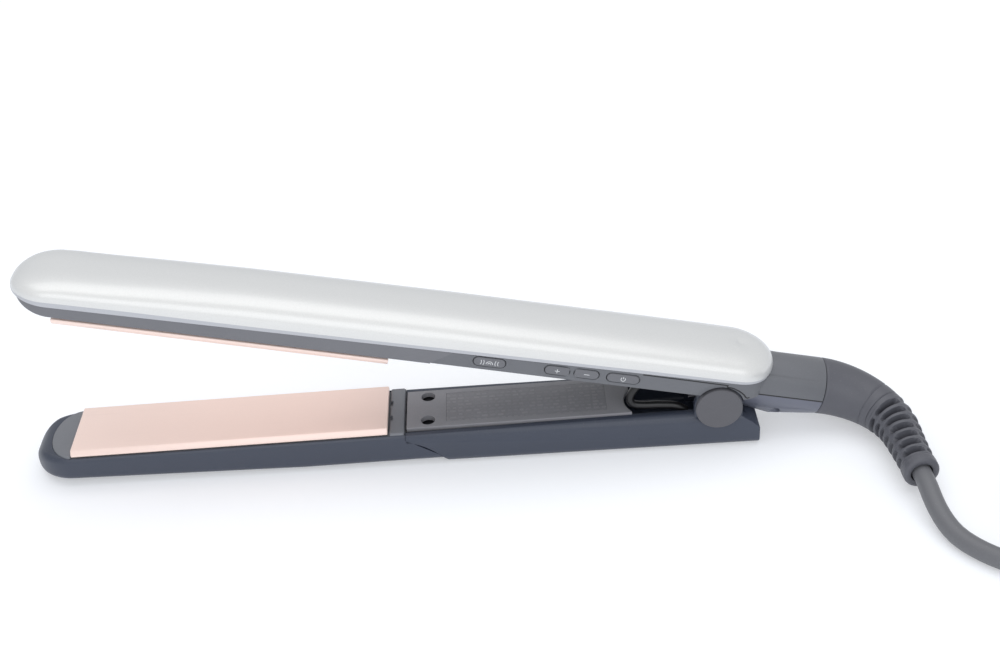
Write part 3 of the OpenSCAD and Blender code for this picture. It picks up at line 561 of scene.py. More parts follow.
def hankRoute():
    cx, cy = lead["centre"]
    run, layer = lead["run"], lead["layer"]

    def straight(side, outer, z, start, end):  # a run along the hank, drawn in at the tie
        wide, narrow = (lead["outer"], lead["waistOuter"]) if outer else (lead["inner"], lead["waistInner"])
        points = []
        for i in range(1, 12):
            u = start + (end - start) * i / 12
            pull = cos(pi * u / 2) ** 2
            points.append((cx + run * u, cy + side * (wide - (wide - narrow) * pull),
                           z + lead["lift"] * ease(1.6 * pull - 0.6)))
        return points

    # a half turn; shift and climb say when the radius and the height change
    def fold(end, r0, r1, z0, z1, shift, climb):
        points = []
        for i in range(0, 15):
            t = i / 14
            r = r0 + (r1 - r0) * ease((t - shift[0]) / (shift[1] - shift[0]))
            z = z0 + (z1 - z0) * ease((t - climb[0]) / (climb[1] - climb[0]))
            angle = -pi / 2 + pi * t if end > 0 else pi / 2 + pi * t
            points.append((cx + end * run + r * cos(angle), cy + r * sin(angle), z))
        return points

    outer, inner = lead["outer"], lead["inner"]
    floorZ = lead["lies"]
    plan = [(True, 0), (False, 0), (False, 1), (True, 1), (False, 2)]  # column and layer of each turn
    points = []
    for k, (isOuter, level) in enumerate(plan):
        z = floorZ + level * layer
        r = outer if isOuter else inner
        if k == len(plan) - 1:
            points += [p for p in straight(-1, isOuter, z, -1, 1) if p[0] < cx + 8]
            break
        if k == 0:
            points += [(cx - run, cy - r, z)]
        points += straight(-1, isOuter, z, -1, 1)
        points += fold(1, r, r, z, z, (0, 1), (0, 1))
        points += straight(1, isOuter, z, 1, -1)
        nextOuter, nextLevel = plan[k + 1]
        r1 = outer if nextOuter else inner
        shift = (0.0, 0.42) if r1 > r else (0.55, 1.0)
        points += fold(-1, r, r1, z, floorZ + nextLevel * layer, shift, (0.05, 0.55))
    return points


tailRoute = [(200, -77.6, 17), (216, -78.6, 16.6), (233, -79.7, 16.45), (246, -80.2, 16.4), (258, -80.3, 16.4),
             (266, -80.2, 15.7), (273, -80.1, 13.6), (280, -80.05, 10.4), (286, -80, 8), (292, -80, 6.95),
             (297.5, -80, 6.85)]


def smoothLine(points, step):  # an even line of points through the given ones
    points = [Vector(p) for p in points]
    fine = []
    for i in range(len(points) - 1):
        p0, p1, p2 = points[max(i - 1, 0)], points[i], points[i + 1]
        p3 = points[min(i + 2, len(points) - 1)]
        for k in range(12):
            t = k / 12
            fine.append(0.5 * (2 * p1 + (p2 - p0) * t + (2 * p0 - 5 * p1 + 4 * p2 - p3) * t * t
                               + (3 * p1 - p0 - 3 * p2 + p3) * t ** 3))
    fine.append(points[-1])
    for _ in range(3):  # evens out the small steps between stretches
        middle = [(fine[i - 1] + 2 * fine[i] + fine[i + 1]) / 4 for i in range(1, len(fine) - 1)]
        fine = [fine[0]] + middle + [fine[-1]]
    total = sum((b - a).length for a, b in zip(fine, fine[1:]))
    count = max(2, round(total / step))
    even, travelled, k = [fine[0]], 0.0, 0
    for i in range(1, count):
        want = total * i / count
        while travelled + (fine[k + 1] - fine[k]).length < want:
            travelled += (fine[k + 1] - fine[k]).length
            k += 1
        span = (fine[k + 1] - fine[k]).length
        even.append(fine[k].lerp(fine[k + 1], (want - travelled) / span))
    return even + [fine[-1]], total


def tube(name, points, radius, sides):  # radius is a number, or one number for each point
    points = [Vector(p) for p in points]
    across = Vector((0, 1, 0) if abs((points[1] - points[0]).normalized().z) > 0.7 else (0, 0, 1))
    frames = []
    for i, p in enumerate(points):
        ahead = (points[min(i + 1, len(points) - 1)] - points[max(i - 1, 0)]).normalized()
        across = (across - ahead * across.dot(ahead)).normalized()
        frames.append((p, across.copy(), ahead.cross(across)))
    last = len(points) - 1

    def place(column, row):
        p, up, side = frames[min(max(column - 1, 0), last)]
        r = radius if isinstance(radius, (int, float)) else radius[min(max(column - 1, 0), last)]
        if column in (0, last + 2):
            r = 0
        a = 2 * pi * row / sides
        return p + r * (cos(a) * up + sin(a) * side)

    return skin(name, last + 3, sides + 1, place)


leadLine, leadTotal = smoothLine(leadRoute + hankRoute() + tailRoute, lead["step"])
print("lead length, mm", round(leadTotal, 1))
leadMesh = tube("mainsLead", leadLine, lead["radius"], lead["sides"])
placeIn(leadMesh, "row", None, look["cordSheath"], ("cord_tube", "cord_hank", "cord_tail"), 50)
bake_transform(leadMesh)
print("lead made")

# Tie round the hank

tie = {"from": 178.5, "to": 187.5, "thick": 0.9, "gap": 0.1}


def hullOutline(circles, radius):  # the outline of a band pulled round several cords
    cloud = [(y + radius * cos(a * pi / 16), z + radius * sin(a * pi / 16))
             for y, z in circles for a in range(32)]
    cloud = sorted(set((round(y, 4), round(z, 4)) for y, z in cloud))

    def half(run):
        chain = []
        for p in run:
            while len(chain) > 1 and ((chain[-1][0] - chain[-2][0]) * (p[1] - chain[-2][1])
                                      - (chain[-1][1] - chain[-2][1]) * (p[0] - chain[-2][0])) <= 0:
                chain.pop()
            chain.append(p)
        return chain[:-1]
    return half(cloud) + half(cloud[::-1])


def makeTie():
    z0, step = lead["lies"] + lead["lift"], lead["layer"]
    bundle = [(side * w, z0 + level * step) for side in (-1, 1) for w in (lead["waistOuter"], lead["waistInner"])
              for level in (0, 1)] + [(-lead["waistInner"], z0 + 2 * step)]
    inner = hullOutline(bundle, lead["radius"] + tie["gap"])
    cy = lead["centre"][1]
    strapWidth = tie["to"] - tie["from"]
    count = len(inner)

    def place(column, row):
        y, z = inner[row % count]
        return Vector((tie["from"] + strapWidth * column / 6, cy + y, z))
    strap = skin("leadTie", 7, count + 1, place)
    applyModifier(strap, "SOLIDIFY", thickness=tie["thick"], offset=1)
    bevelEdges(strap, 0.25, 2, 50)
    # free end of the strap, folded back flat against the side
    flank = cy - lead["waistOuter"]
    tab = block((tie["from"] + 1, flank - 5.15, 4), (tie["to"] - 1, flank - 4.2, 10.5))
    applyModifier(tab, "BEVEL", width=0.4, segments=3)
    strap = joinPieces(tab, strap)
    return placeIn(strap, "row", "upper_arm", look["tieStrap"], ("cord_tie",), 40)


leadTie = makeTie()

# Plug: flat two-pin body with grip ribs and a ribbed sleeve

plug = {"x": 298, "y": -80, "thick": 13.7, "wide": 35, "neck": 16, "long": 25, "ribs": 5, "sleeve": 9,
        "inset": 0.15, "pinOut": 9.5, "pinFoot": 4.6}


def makePlug():
    x, y, t = plug["x"], plug["y"], plug["thick"]
    body = block((x, y - plug["neck"] / 2, plug["inset"]),
                 (x + plug["long"], y + plug["neck"] / 2, t - plug["inset"]))
    editAll(body)
    bpy.ops.mesh.bisect(plane_co=(x + 12, y, 0), plane_no=(1, 0, 0))
    bpy.ops.mesh.select_all(action="DESELECT")
    bpy.ops.object.mode_set(mode="OBJECT")
    for v in body.data.vertices:  # widened to the pins' end
        if v.co.x > x + 6:
            v.co.y = y + (v.co.y - y) * plug["wide"] / plug["neck"]
    bevelEdges(body, 2.6, 5, 25)
    for k in range(plug["ribs"]):  # grip grooves across both broad faces
        rx = x + 13.5 + 2.0 * k
        for z in (plug["inset"], t - plug["inset"]):
            cutWith(body, rod(0.5, (rx, y - 13, z), (rx, y + 13, z), 12))
    rings = []
    for i in range(0, 46):
        s = i / 45
        groove = 0.55 * (0.5 + 0.5 * cos(s * 2 * pi * 4)) if s < 0.93 else 0
        rings.append((x - plug["sleeve"] + s * (plug["sleeve"] + 1.5), 4.1 + 0.9 * s - groove * 0.8))
    line = [(px, y, t / 2) for px, r in rings]
    sleeve = tube("plugSleeve", line, [r for px, r in rings], 32)
    feet = [rod(plug["pinFoot"], (x + 24.4, y + side * plug["pinOut"], t / 2),
                (x + 25.05, y + side * plug["pinOut"], t / 2), 40) for side in (-1, 1)]
    plugMesh = joinPieces(sleeve, *feet, body)
    plugMesh.name = "plugBody"
    placeIn(plugMesh, "row", "upper_arm", look["plugPlastic"], ("plug_body",), 40)
    pins = []
    for side in (-1, 1):
        profile = [(25, 1.75), (33.5, 1.75), (34, 2.0), (42.6, 2.0), (43.5, 1.7), (44, 1.1)]
        pins.append(tube("pin", [(x + px, y + side * plug["pinOut"], t / 2) for px, r in profile],
                         [r for px, r in profile], 32))
    pinMesh = joinPieces(*pins)
    pinMesh.name = "plugPins"
    placeIn(pinMesh, "row", "upper_arm", look["plugPin"], ("plug_pins",), 40)
    return plugMesh, pinMesh


plugMesh, pinMesh = makePlug()
[list(p * 0.001) for p in leadLine]
print("plug and tie made")

# Upper cover

cover = {"rimOut": 0.28, "power": 2.75, "nosePower": 0.2, "noseTop": 15.5, "domeLength": 24, "wall": 1.5, "arc": 30,
         "crease": [(-239.7, 7.7), (-234, 8.7), (-226, 9.4), (-202, 9.8), (-160, 9.9), (-118, 10.4), (-85, 10.9),
                    (-60, 11.2), (-44, 11.4), (-28, 11.7), (-10, 11.8), (18, 11.9)],
         "top": [(-215, 15.5), (-190, 16.8), (-163, 17.9), (-120, 18.5), (-95, 18.8), (-8, 18.8), (14, 18.4),
                 (20, 18.3)]}
joint = {"noseZ": 7.4, "rise": 3.1}


def splitLine(x):
    return joint["noseZ"] + joint["rise"] * (x - armWidth["noseX"]) / -armWidth["noseX"]


def halfWidth(x):  # the arm's outline from above, at the nose and along the arm
    d = max(0.0, armWidth["noseX"] - x)
    return armWidth["half"] * sqrt(max(0.0, 1 - (d / armWidth["half"]) ** 2))


def coverTop(x):
    crease = along(cover["crease"], x)
    t = (x - noseTip) / cover["domeLength"]
    if t >= 1:
        return along(cover["top"], x)
    return crease + (cover["noseTop"] - crease) * sqrt(max(0.0, 1 - (1 - t) ** 2)) ** 1.05


def makeCover():
    noseSteps, straightSteps, rearSteps = 22, 44, 16
    stations = [armWidth["noseX"] - armWidth["half"] * cos(pi / 2 * i / noseSteps) for i in range(noseSteps)]
    stations += [armWidth["noseX"] + (armWidth["rearX"] - armWidth["noseX"]) * i / straightSteps
                 for i in range(straightSteps + 1)]
    columns = len(stations) + rearSteps
    arc = cover["arc"]
    rows = 2 * arc + 1 + 4

    def place(column, row):
        x = stations[min(column, len(stations) - 1)]
        crease, low = along(cover["crease"], x), splitLine(x) + 0.06
        w = halfWidth(x)
        out = w * (1 + cover["rimOut"] / armWidth["half"])
        side = -1 if row < rows // 2 else 1
        k = min(row, rows - 1 - row)  # counts up from either lower edge
        if k == 0:
            y, z = w * 0.999, low
        elif k == 1:
            y, z = w * (1 + 0.35 * cover["rimOut"] / armWidth["half"]), crease - 0.12
        else:
            t = (k - 2) / arc * pi / 2
            power = cover["power"] + cover["nosePower"] * ease((-200 - x) / 30)
            y = out * cos(t) ** (2 / power)
            z = crease + (coverTop(x) - crease) * sin(t) ** (2 / power)
        if column < len(stations):
            return Vector((x, side * y, z))
        turn = pi / 2 * (column - len(stations) + 1) / rearSteps
        drop = 0.35 * (1 - y / out) * sin(turn)
        return Vector((x + y * sin(turn), side * y * cos(turn), z - drop))

    shell = skin("upperCover", columns, rows, place)
    shell.data.materials.append(look["pearlCover"])
    shell.data.materials.append(look["rimSilverPaintedShade"])
    # faces below the crease take the darker copy of the pearl paint: painted shade on the rim band
    for face in shell.data.polygons:
        if face.center.z < along(cover["crease"], face.center.x) - 0.1:
            face.material_index = 1
    thicken(shell, cover["wall"])
    placeIn(shell, "upper", "upper_arm", None, ("upper_shell",), 50)
    return shell


makeCover()
print("cover made")

# Upper front frame: dark trough round the plate

trough = {"low": 3.4, "noseBack": 12, "tipBack": 1.0, "round": 0.7, "wall": 1.3, "endX": -100.55, "lean": 1.5}


def makeUpperFrame():
    noseSteps, straightSteps = 18, 16
    start = noseTip + trough["tipBack"]
    stations = [armWidth["noseX"] - (armWidth["noseX"] - start) * cos(pi / 2 * i / noseSteps)
                for i in range(noseSteps)]
    stations += [armWidth["noseX"] + (trough["endX"] - armWidth["noseX"]) * i / straightSteps
                 for i in range(straightSteps + 1)]

    def place(column, row):
        x = stations[column]
        high = splitLine(x) + 0.02
        back = (armWidth["noseX"] + 1.2 - x) / (trough["noseBack"] + 1.0)
        low = high - (high - trough["low"]) * sqrt(max(0.0, 1 - max(0.0, back) ** 2))
        w = halfWidth(x - trough["tipBack"] * ease((-212 - x) / 12)) - 0.02
        r = min(trough["round"], (high - low) * 0.4, w * 0.4)
        profile = [(w, high), (w, low + r), (w - 0.3 * r, low + 0.3 * r), (w - r, low), (w * 0.5, low)]
        side = -1 if row < 5 else 1
        y, z = profile[min(row, 9 - row)]
        if x > -118:
            x += max(0.0, z - 4.4) * trough["lean"] * ease((x + 118) / 17)
        return Vector((x, side * y, z))

    frameMesh = skin("upperPlateFrame", len(stations), 10, place)
    thicken(frameMesh, trough["wall"])
    cutWith(frameMesh, block((-221.8, -10, 0), (-117, 10, 5.2)))
    return placeIn(frameMesh, "upper", "upper_arm", look["heatFrame"], ("upper_front_frame",), 40)


makeUpperFrame()
for nodeName, name, body, finish, slotName, bevel in [
        ("upper_handle_frame", "upperHandleFrame", "upper_arm", "handlePlastic", "handle_plastic", 0.12),
        ("rear_housing", "rearHousing", "upper_arm", "housingPlastic", "handle_plastic", 0.12),
        ("hinge_lock", "hingeLock", "lock_slider", "handlePlastic", "handle_plastic", 0.2),
        ("upper_plate", "upperPlate", "upper_plate_float", "ceramicPlate", "ceramic_plate", 0.3),
        ("lower_plate", "lowerPlate", "lower_plate_float", "ceramicPlate", "ceramic_plate", 0.3),
        ("lower_handle_shell", "lowerHandleShell", "lower_arm", "lowerPlastic", "lower_plastic", 0.15),
        ("lower_front_frame", "lowerPlateFrame", "lower_arm", "frameRim", "heat_frame", 0.2)]:
    refined(nodeName, name, body, look[finish], bevel)

collar = {"from": 16.5, "to": 36.3, "axis": 4.7, "radius": 9.9, "above": 1.9, "below": 3.0, "easeIn": 3.5}


def flareCollar(name):  # the rear housing widens towards the handle, more below than above
    place, back = places["upper"], places["upper"].inverted()
    for v in bpy.data.objects[name].data.vertices:
        p = back @ v.co
        out = Vector((0, p.y, p.z - collar["axis"]))
        onSkin = collar["radius"] - 0.6 < out.length < collar["radius"] + 0.1
        if p.x > collar["from"] - collar["easeIn"] and onSkin:
            share = min(1.0, (collar["to"] - p.x) / (collar["to"] - collar["from"]))
            share *= ease((p.x - collar["from"] + collar["easeIn"]) / collar["easeIn"])
            rise = out.z / out.length
            grow = collar["above"] * max(0.0, rise) + collar["below"] * max(0.0, -rise) * ease(0.2 - rise)
            v.co = place @ (p + Vector((0, 0, 1 if rise > 0 else -1)) * grow * max(0.0, share))


flareCollar("upperHandleFrame")
flareCollar("rearHousing")

# Thin near-black tubes laid barely proud of the handle's side and between the halves of the rear housing: painted
# shade standing in for the shadow inside the seams
gap = {"radius": 0.32, "sunk": 0.2,
       "side": [(-29, 9.75), (-14, 9.7), (-0.2, 9.6), (0.3, 9.4), (0.5, 8.9), (2.5, 8.75), (5, 7.8), (7.2, 6.2),
                (8.4, 4.75), (9.6, 4.72)],
       "split": (10, collar["to"])}


def makeSeamShade():
    def sideOf(x):
        return gap["sunk"] - sqrt(armWidth["half"] ** 2 - max(0.0, x - armWidth["rearX"]) ** 2)
    pieces = [tube("joint", smoothLine([(x, sideOf(x), z) for x, z in gap["side"]], 0.8)[0], gap["radius"], 10)]
    x0, x1 = gap["split"]
    for side in (-1, 1):
        y = side * (collar["radius"] - gap["sunk"])
        line = [(x0 + (x1 - x0) * k / 6, y, collar["axis"]) for k in range(7)]
        pieces.append(tube("joint", line, gap["radius"], 10))
    seamShade = joinPieces(*pieces)
    seamShade.name = "frameJoints"
    # the near-black sleeve finish here is painted shade for the seams, not a real dark part
    placeIn(seamShade, "upper", "upper_arm", look["sleeve"], ("upper_handle_frame", "rear_housing"), 40)


makeSeamShade()
print("frames and plates refined")

# Lower front shell: a shallow boat with a round nose

bezel = {"centre": -224.6, "half": 13.15, "nose": 8.6, "top": -1.9, "low": -4.7, "frontEnd": -224.65,
         "rear": (-113.9, -108.65), "edge": 0.7, "slotY": 4.2}
boat = {"mid": -9.2, "up": 7.0, "upLength": 7, "down": 5.4, "downLength": 9, "wall": 1.6,
        "shoulder": 2.4, "corner": 3, "leans": 30, "clear": 0.12,
        "seam": [(-30, 20), (-14, 13), (-8, 8), (-6, 0), (5, 0)]}
seamX = -108.4


def boatFloor(x):
    flat = -pivotHeight + 0.01309 * -x
    return flat + 0.0096 * max(0.0, -x - 86.4) + 0.006 * max(0.0, -x - 135)


def makeLowerFront():
    noseSteps, straightSteps = 24, 22
    end = seamX + 20
    stations = [armWidth["noseX"] - armWidth["half"] * cos(pi / 2 * i / noseSteps) for i in range(noseSteps)]
    stations += [armWidth["noseX"] + (end - armWidth["noseX"]) * i / straightSteps
                 for i in range(straightSteps + 1)]

    def section(x):
        w = halfWidth(x)
        t = x - noseTip
        high = boat["mid"] + boat["up"] * sqrt(max(0.0, 1 - max(0.0, 1 - t / boat["upLength"]) ** 2))
        belly = boat["down"] * sqrt(max(0.0, 1 - max(0.0, 1 - t / boat["downLength"]) ** 2))
        low = max(boatFloor(x), boat["mid"] - belly)
        height = high - low
        a = min(boat["shoulder"], height * 0.42, w * 0.5)
        b = min(boat["corner"], height * 0.52, w * 0.6)
        points = [(0.0, high), (w - a - min(1.2, w * 0.2), high)]
        points += [(w - a + a * sin(k * pi / 12), high - a + a * cos(k * pi / 12)) for k in range(7)]
        points += [(w - b + b * cos(k * pi / 14), low + b - b * sin(k * pi / 14)) for k in range(8)]
        points += [((w - b) * 0.5, low)]
        return points

    half = len(section(-150))

    def place(column, row):
        x = stations[column]
        side = -1 if row < half else 1
        y, z = section(x)[min(row, 2 * half - 1 - row)]
        if x > seamX - boat["leans"]:  # the stations lean to the seam's own line
            limit = seamX + along(boat["seam"], z) - boat["clear"]
            t = (x - (seamX - boat["leans"])) / (end - (seamX - boat["leans"]))
            x = (seamX - boat["leans"]) + (limit - (seamX - boat["leans"])) * t
        return Vector((x, side * y, z))

    shell = skin("lowerFrontShell", len(stations), 2 * half, place)
    thicken(shell, boat["wall"])
    well = bezel["half"] + boat["clear"]
    cutWith(shell, block((bezel["centre"], -well, -5), (seamX + 5, well, 5)))
    oval = rod(1, (bezel["centre"], 0, -5), (bezel["centre"], 0, 5), 96)
    for v in oval.data.vertices:
        v.co.x = bezel["centre"] + (v.co.x - bezel["centre"]) * (bezel["nose"] + boat["clear"])
        v.co.y *= well
    cutWith(shell, oval)
    bevelEdges(shell, 0.2, 2, 50)
    return placeIn(shell, "lower", "lower_arm", look["lowerPlastic"], ("lower_front_shell",), 40)


def makeBezel():  # the frame's two raised ends, before and behind the plate
    front = rod(1, (bezel["centre"], 0, bezel["low"]), (bezel["centre"], 0, bezel["top"]), 128)
    for v in front.data.vertices:
        v.co.x = bezel["centre"] + (v.co.x - bezel["centre"]) * bezel["nose"]
        v.co.y *= bezel["half"]
    cutWith(front, block((bezel["frontEnd"], -20, -9), (-200, 20, 5)))
    rearFrom, rearTo = bezel["rear"]
    rear = block((rearFrom, -bezel["half"], bezel["low"]), (rearTo, bezel["half"], bezel["top"]))
    for end in (front, rear):
        bevelEdges(end, bezel["edge"], 4, 50)
    for side in (-1, 1):
        y = side * bezel["slotY"]
        cutWith(rear, block((rearFrom - 0.2, y - 1.5, -3.2), (rearFrom + 1.1, y + 1.5, 0)))
    return joinPieces(rear, front)


makeLowerFront()
ends = makeBezel()
ends.name = "lowerPlateFrameEnds"
placeIn(ends, "lower", "lower_arm", look["frameRim"], ("lower_front_frame",), 40)
print("lower shell made")

# Inner face of the lower handle, with its screw wells and the blank rating plate

inner = {"from": -107.95, "to": -29.5, "half": 10.6, "top": -2.0, "low": -3.95, "edge": 0.6, "wellX": -100.4,
         "wellY": 6.7, "wellR": 2.5, "biteX": -21.5, "biteY": -3.5, "biteR": 10.2,
         "plateX": (-94, -38), "plateHalf": 8, "slack": 0.06}


def makeInnerFace():
    face = block((inner["from"], -inner["half"], inner["low"]), (inner["to"], inner["half"], inner["top"]))
    biteX, biteY = inner["biteX"], inner["biteY"]
    cutWith(face, rod(inner["biteR"], (biteX, biteY, -9), (biteX, biteY, 3), 96))
    for v in face.data.vertices:
        if v.co.z < inner["low"] + 0.01 and abs(v.co.y) > inner["half"] - 0.1:
            v.co.y *= 0.995
    bevelEdges(face, inner["edge"], 5, 60)
    for side in (-1, 1):
        y = side * inner["wellY"]
        cutWith(face, rod(inner["wellR"], (inner["wellX"], y, -9), (inner["wellX"], y, 3), 64))
    x0, x1 = inner["plateX"]
    half, slack = inner["plateHalf"], inner["slack"]
    cutWith(face, block((x0 - slack, -half - slack, inner["top"] - 0.4), (x1 + slack, half + slack, 1)))
    face.name = "lowerInnerFace"
    placeIn(face, "lower", "lower_arm", look["innerFace"], ("lower_inner_cover",), 40)
    # near-black tubes down the screw holes, in the sleeve finish: painted shade for the dark inside of the holes
    wells = [rod(inner["wellR"] + 0.5, (inner["wellX"], side * inner["wellY"], -8.5),
                 (inner["wellX"], side * inner["wellY"], -3.9), 64) for side in (-1, 1)]
    for well, side in zip(wells, (-1, 1)):
        cutWith(well, rod(inner["wellR"] - 0.05, (inner["wellX"], side * inner["wellY"], -5.7),
                          (inner["wellX"], side * inner["wellY"], 0), 64))
    shadedWells = joinPieces(*wells)
    shadedWells.name = "screwWells"
    placeIn(shadedWells, "lower", "lower_arm", look["sleeve"], ("lower_inner_cover",), 40)
    label = block((x0, -half, inner["top"] - 0.38), (x1, half, inner["top"] - 0.03))
    applyModifier(label, "BEVEL", width=0.06, segments=2)
    label.name = "ratingPlate"
    placeIn(label, "lower", "lower_arm", look["ratingFoil"], ("rating_plate",), 40)


makeInnerFace()
print("inner face made")

# Hinge caps

hingeCap = {"radius": 8, "from": 13.1, "to": 15.15, "edge": 0.35, "fold": 0.75, "foldAngle": 28, "lift": 0.07}


def makeCap(side, name, nodeName):
    rings = [(0.0, 1), (0.2, 1), (0.4, 1), (0.6, 1), (0.8, 1), (0.92, 1), (0.955, 0.96), (0.985, 0.8), (1.0, 0.5),
             (1.0, 0)]
    turn = radians(hingeCap["foldAngle"])
    depth = hingeCap["to"] - hingeCap["from"]

    def place(column, row):
        share, level = rings[column]
        r, a = hingeCap["radius"] * share, 2 * pi * row / 72
        x, z = r * cos(a), r * sin(a)
        above = -x * sin(turn) + z * cos(turn) - hingeCap["fold"]  # distance beyond the face's soft fold
        y = hingeCap["from"]
        if level >= 0.5:
            y += depth - hingeCap["edge"] * (1 - level) / 0.5
        if level >= 0.8:
            y -= hingeCap["lift"] * max(0.0, above)
        return Vector((x, side * y, z))
    cap = skin(name, len(rings), 73, place)
    closeHoles(cap)
    cap.data.transform(Matrix.Translation((0, 0, pivotHeight)))
    return placeIn(cap, "row", "lower_arm", look["capPlastic"], (nodeName,), 30)


makeCap(-1, "hingeCapFront", "hinge_cap_front")
makeCap(1, "hingeCapBack", "hinge_cap_back")

# Buttons with small raised symbols

button = {"z": 7.2, "height": 3.4, "face": -14.35, "back": -12.05, "line": 0.14, "corner": 0.55}
buttonSet = [("boost", -81.1, 10.8, "round", "round"), ("plus", -58.1, 8.4, "round", "square"),
             ("minus", -48.0, 8.4, "square", "round"), ("power", -35.4, 11.2, "round", "round")]


def strokeTube(points, radius):
    return tube("stroke", [(x, button["face"] - 0.02, z) for x, z in points], radius, 8)


def symbolStrokes(kind, x, z):
    line = button["line"]
    if kind == "plus":
        return [strokeTube([(x - 0.8, z), (x, z), (x + 0.8, z)], line),
                strokeTube([(x, z - 0.8), (x, z), (x, z + 0.8)], line)]
    if kind == "minus":
        return [strokeTube([(x - 0.9, z), (x, z), (x + 0.9, z)], line)]
    if kind == "power":
        arc = [(x + 0.75 * sin(radians(a)), z - 0.05 + 0.75 * cos(radians(a))) for a in range(40, 321, 20)]
        return [strokeTube(arc, line), strokeTube([(x, z + 0.1), (x, z + 0.5), (x, z + 0.95)], line)]
    strokes = []  # rising warmth: arcs to both sides and a small hill between them
    for k, dx in enumerate((-3.1, -2.2, 2.2, 3.1)):
        bow = 0.35 if dx < 0 else -0.35
        tall = 1 - 0.15 * (k in (0, 3))
        strokes.append(strokeTube([(x + dx + bow * cos(radians(a)), z + 0.95 * sin(radians(a)) * tall)
                                   for a in range(-80, 81, 20)], line))
    hill = [(x + 1.1 * cos(radians(a)), z - 0.6 + 1.1 * sin(radians(a))) for a in range(0, 181, 20)]
    small = [(x + 0.45 * cos(radians(a)), z - 0.6 + 0.5 * sin(radians(a))) for a in range(0, 181, 30)]
    return strokes + [strokeTube(hill, line), strokeTube(small, line)]


def makeButton(kind, x, length, leftEnd, rightEnd):
    r, corner = button["height"] / 2, button["corner"]

    def endPoints(side, form):  # the outline of one end, in the side's own turning direction
        cx = x + side * (length / 2 - (r if form == "round" else corner))
        points = []
        if form == "round":
            for a in range(-90, 91, 10):
                points.append((cx + side * r * cos(radians(a)), button["z"] + r * sin(radians(a))))
        else:
            for lift in (-1, 1):
                for a in range(0, 91, 18):
                    b = a if lift > 0 else 90 - a
                    points.append((cx + side * corner * cos(radians(b)),
                                   button["z"] + lift * (r - corner + corner * sin(radians(b)))))
        return points
    outline = endPoints(1, rightEnd) + endPoints(-1, leftEnd)[::-1]
    steps = [(0.0, -0.05), (0.55, -0.05), (0.86, 0.0), (0.95, 0.12), (1.0, 0.35),
             (1.0, button["back"] - button["face"])]
    count = len(outline)

    def place(column, row):
        share, depth = steps[column]
        px, pz = outline[row % count]
        nearX = x + max(-length / 2 + r, min(length / 2 - r, px - x))
        return Vector((nearX + (px - nearX) * share if share else nearX, button["face"] + depth,
                       button["z"] + (pz - button["z"]) * share))
    key = skin(kind + "Button", len(steps), count + 1, place)
    closeHoles(key)
    strokes = joinPieces(*symbolStrokes(kind, x, button["z"]))
    for part in (key, strokes):
        part.data.materials.append(look["buttonPlastic"])
        part.data.materials.append(look["symbolInk"])
    for face in strokes.data.polygons:
        face.material_index = 1
    key = joinPieces(strokes, key)
    key.name = kind + "Button"
    placeIn(key, "upper", kind, None, (kind + "_button",), 35)


for row in buttonSet:
    makeButton(*row)
print("caps and buttons made")

# Elbow and slotted boot

elbow = {"start": 36.8, "centreX": 37.3, "radius": 24.5, "bend": 86, "boot": 21, "wide": 9.9, "narrow": 5.75,
         "slotFrom": 28.6, "slotPitch": 3.95, "slots": 7, "slotHalf": 1.2, "slotDepth": 3.1, "slotReach": 40,
         "slotTurn": 59, "stub": 0.5, "throat": [(0, 4.3), (-0.25, 3.75), (-5, 3.55)],
         "rings": (20.6, 24.6), "lip": 54.6, "sides": 120, "fine": 0.3}


def elbowPoint(s):  # centre and heading at a distance along the elbow
    bend, r = radians(elbow["bend"]), elbow["radius"]
    stub, arcLength = elbow["stub"], r * bend
    if s < stub:
        return Vector((elbow["start"] + s, 0, 0)), Vector((1, 0, 0))
    if s < stub + arcLength:
        a = (s - stub) / r
        return Vector((elbow["centreX"] + r * sin(a), -r * (1 - cos(a)), 0)), Vector((cos(a), -sin(a), 0))
    d = s - stub - arcLength
    return (Vector((elbow["centreX"] + r * sin(bend) + d * cos(bend), -r * (1 - cos(bend)) - d * sin(bend), 0)),
            Vector((cos(bend), -sin(bend), 0)))


elbowLength = elbow["stub"] + elbow["radius"] * radians(elbow["bend"]) + elbow["boot"]


def elbowRadius(s, a):
    t = s / elbowLength
    r = elbow["wide"] - (elbow["wide"] - elbow["narrow"]) * (0.35 * t + 0.65 * ease(1.15 * t))
    r -= 0.3 * max(0.0, 1 - s / 0.5)  # softened edge against the housing
    for ring in elbow["rings"]:
        r -= 0.4 * max(0.0, 1 - abs(s - ring) / 0.35)
    if s > elbow["lip"]:
        r += 0.25 * ease((s - elbow["lip"]) / 0.5)
    r -= 0.9 * max(0.0, (s - elbowLength + 0.9) / 0.9) ** 2.2
    k = round((s - elbow["slotFrom"]) / elbow["slotPitch"])
    if 0 <= k < elbow["slots"]:
        away = abs(s - elbow["slotFrom"] - k * elbow["slotPitch"])
        # degrees from the middle of the nearest column of slots
        turn = (a - elbow["slotTurn"] + 45) % 90 - 45
        reach = max(0.0, 1 - (abs(turn) / elbow["slotReach"]) ** 4)
        half = elbow["slotHalf"] * reach ** 0.5
        if half > 0:
            r -= elbow["slotDepth"] * ease((half - away) / 0.28 + 0.5) * min(1.0, reach * 2)
        r += 0.12 * ease((away - 1.2) / 0.6)
    return r


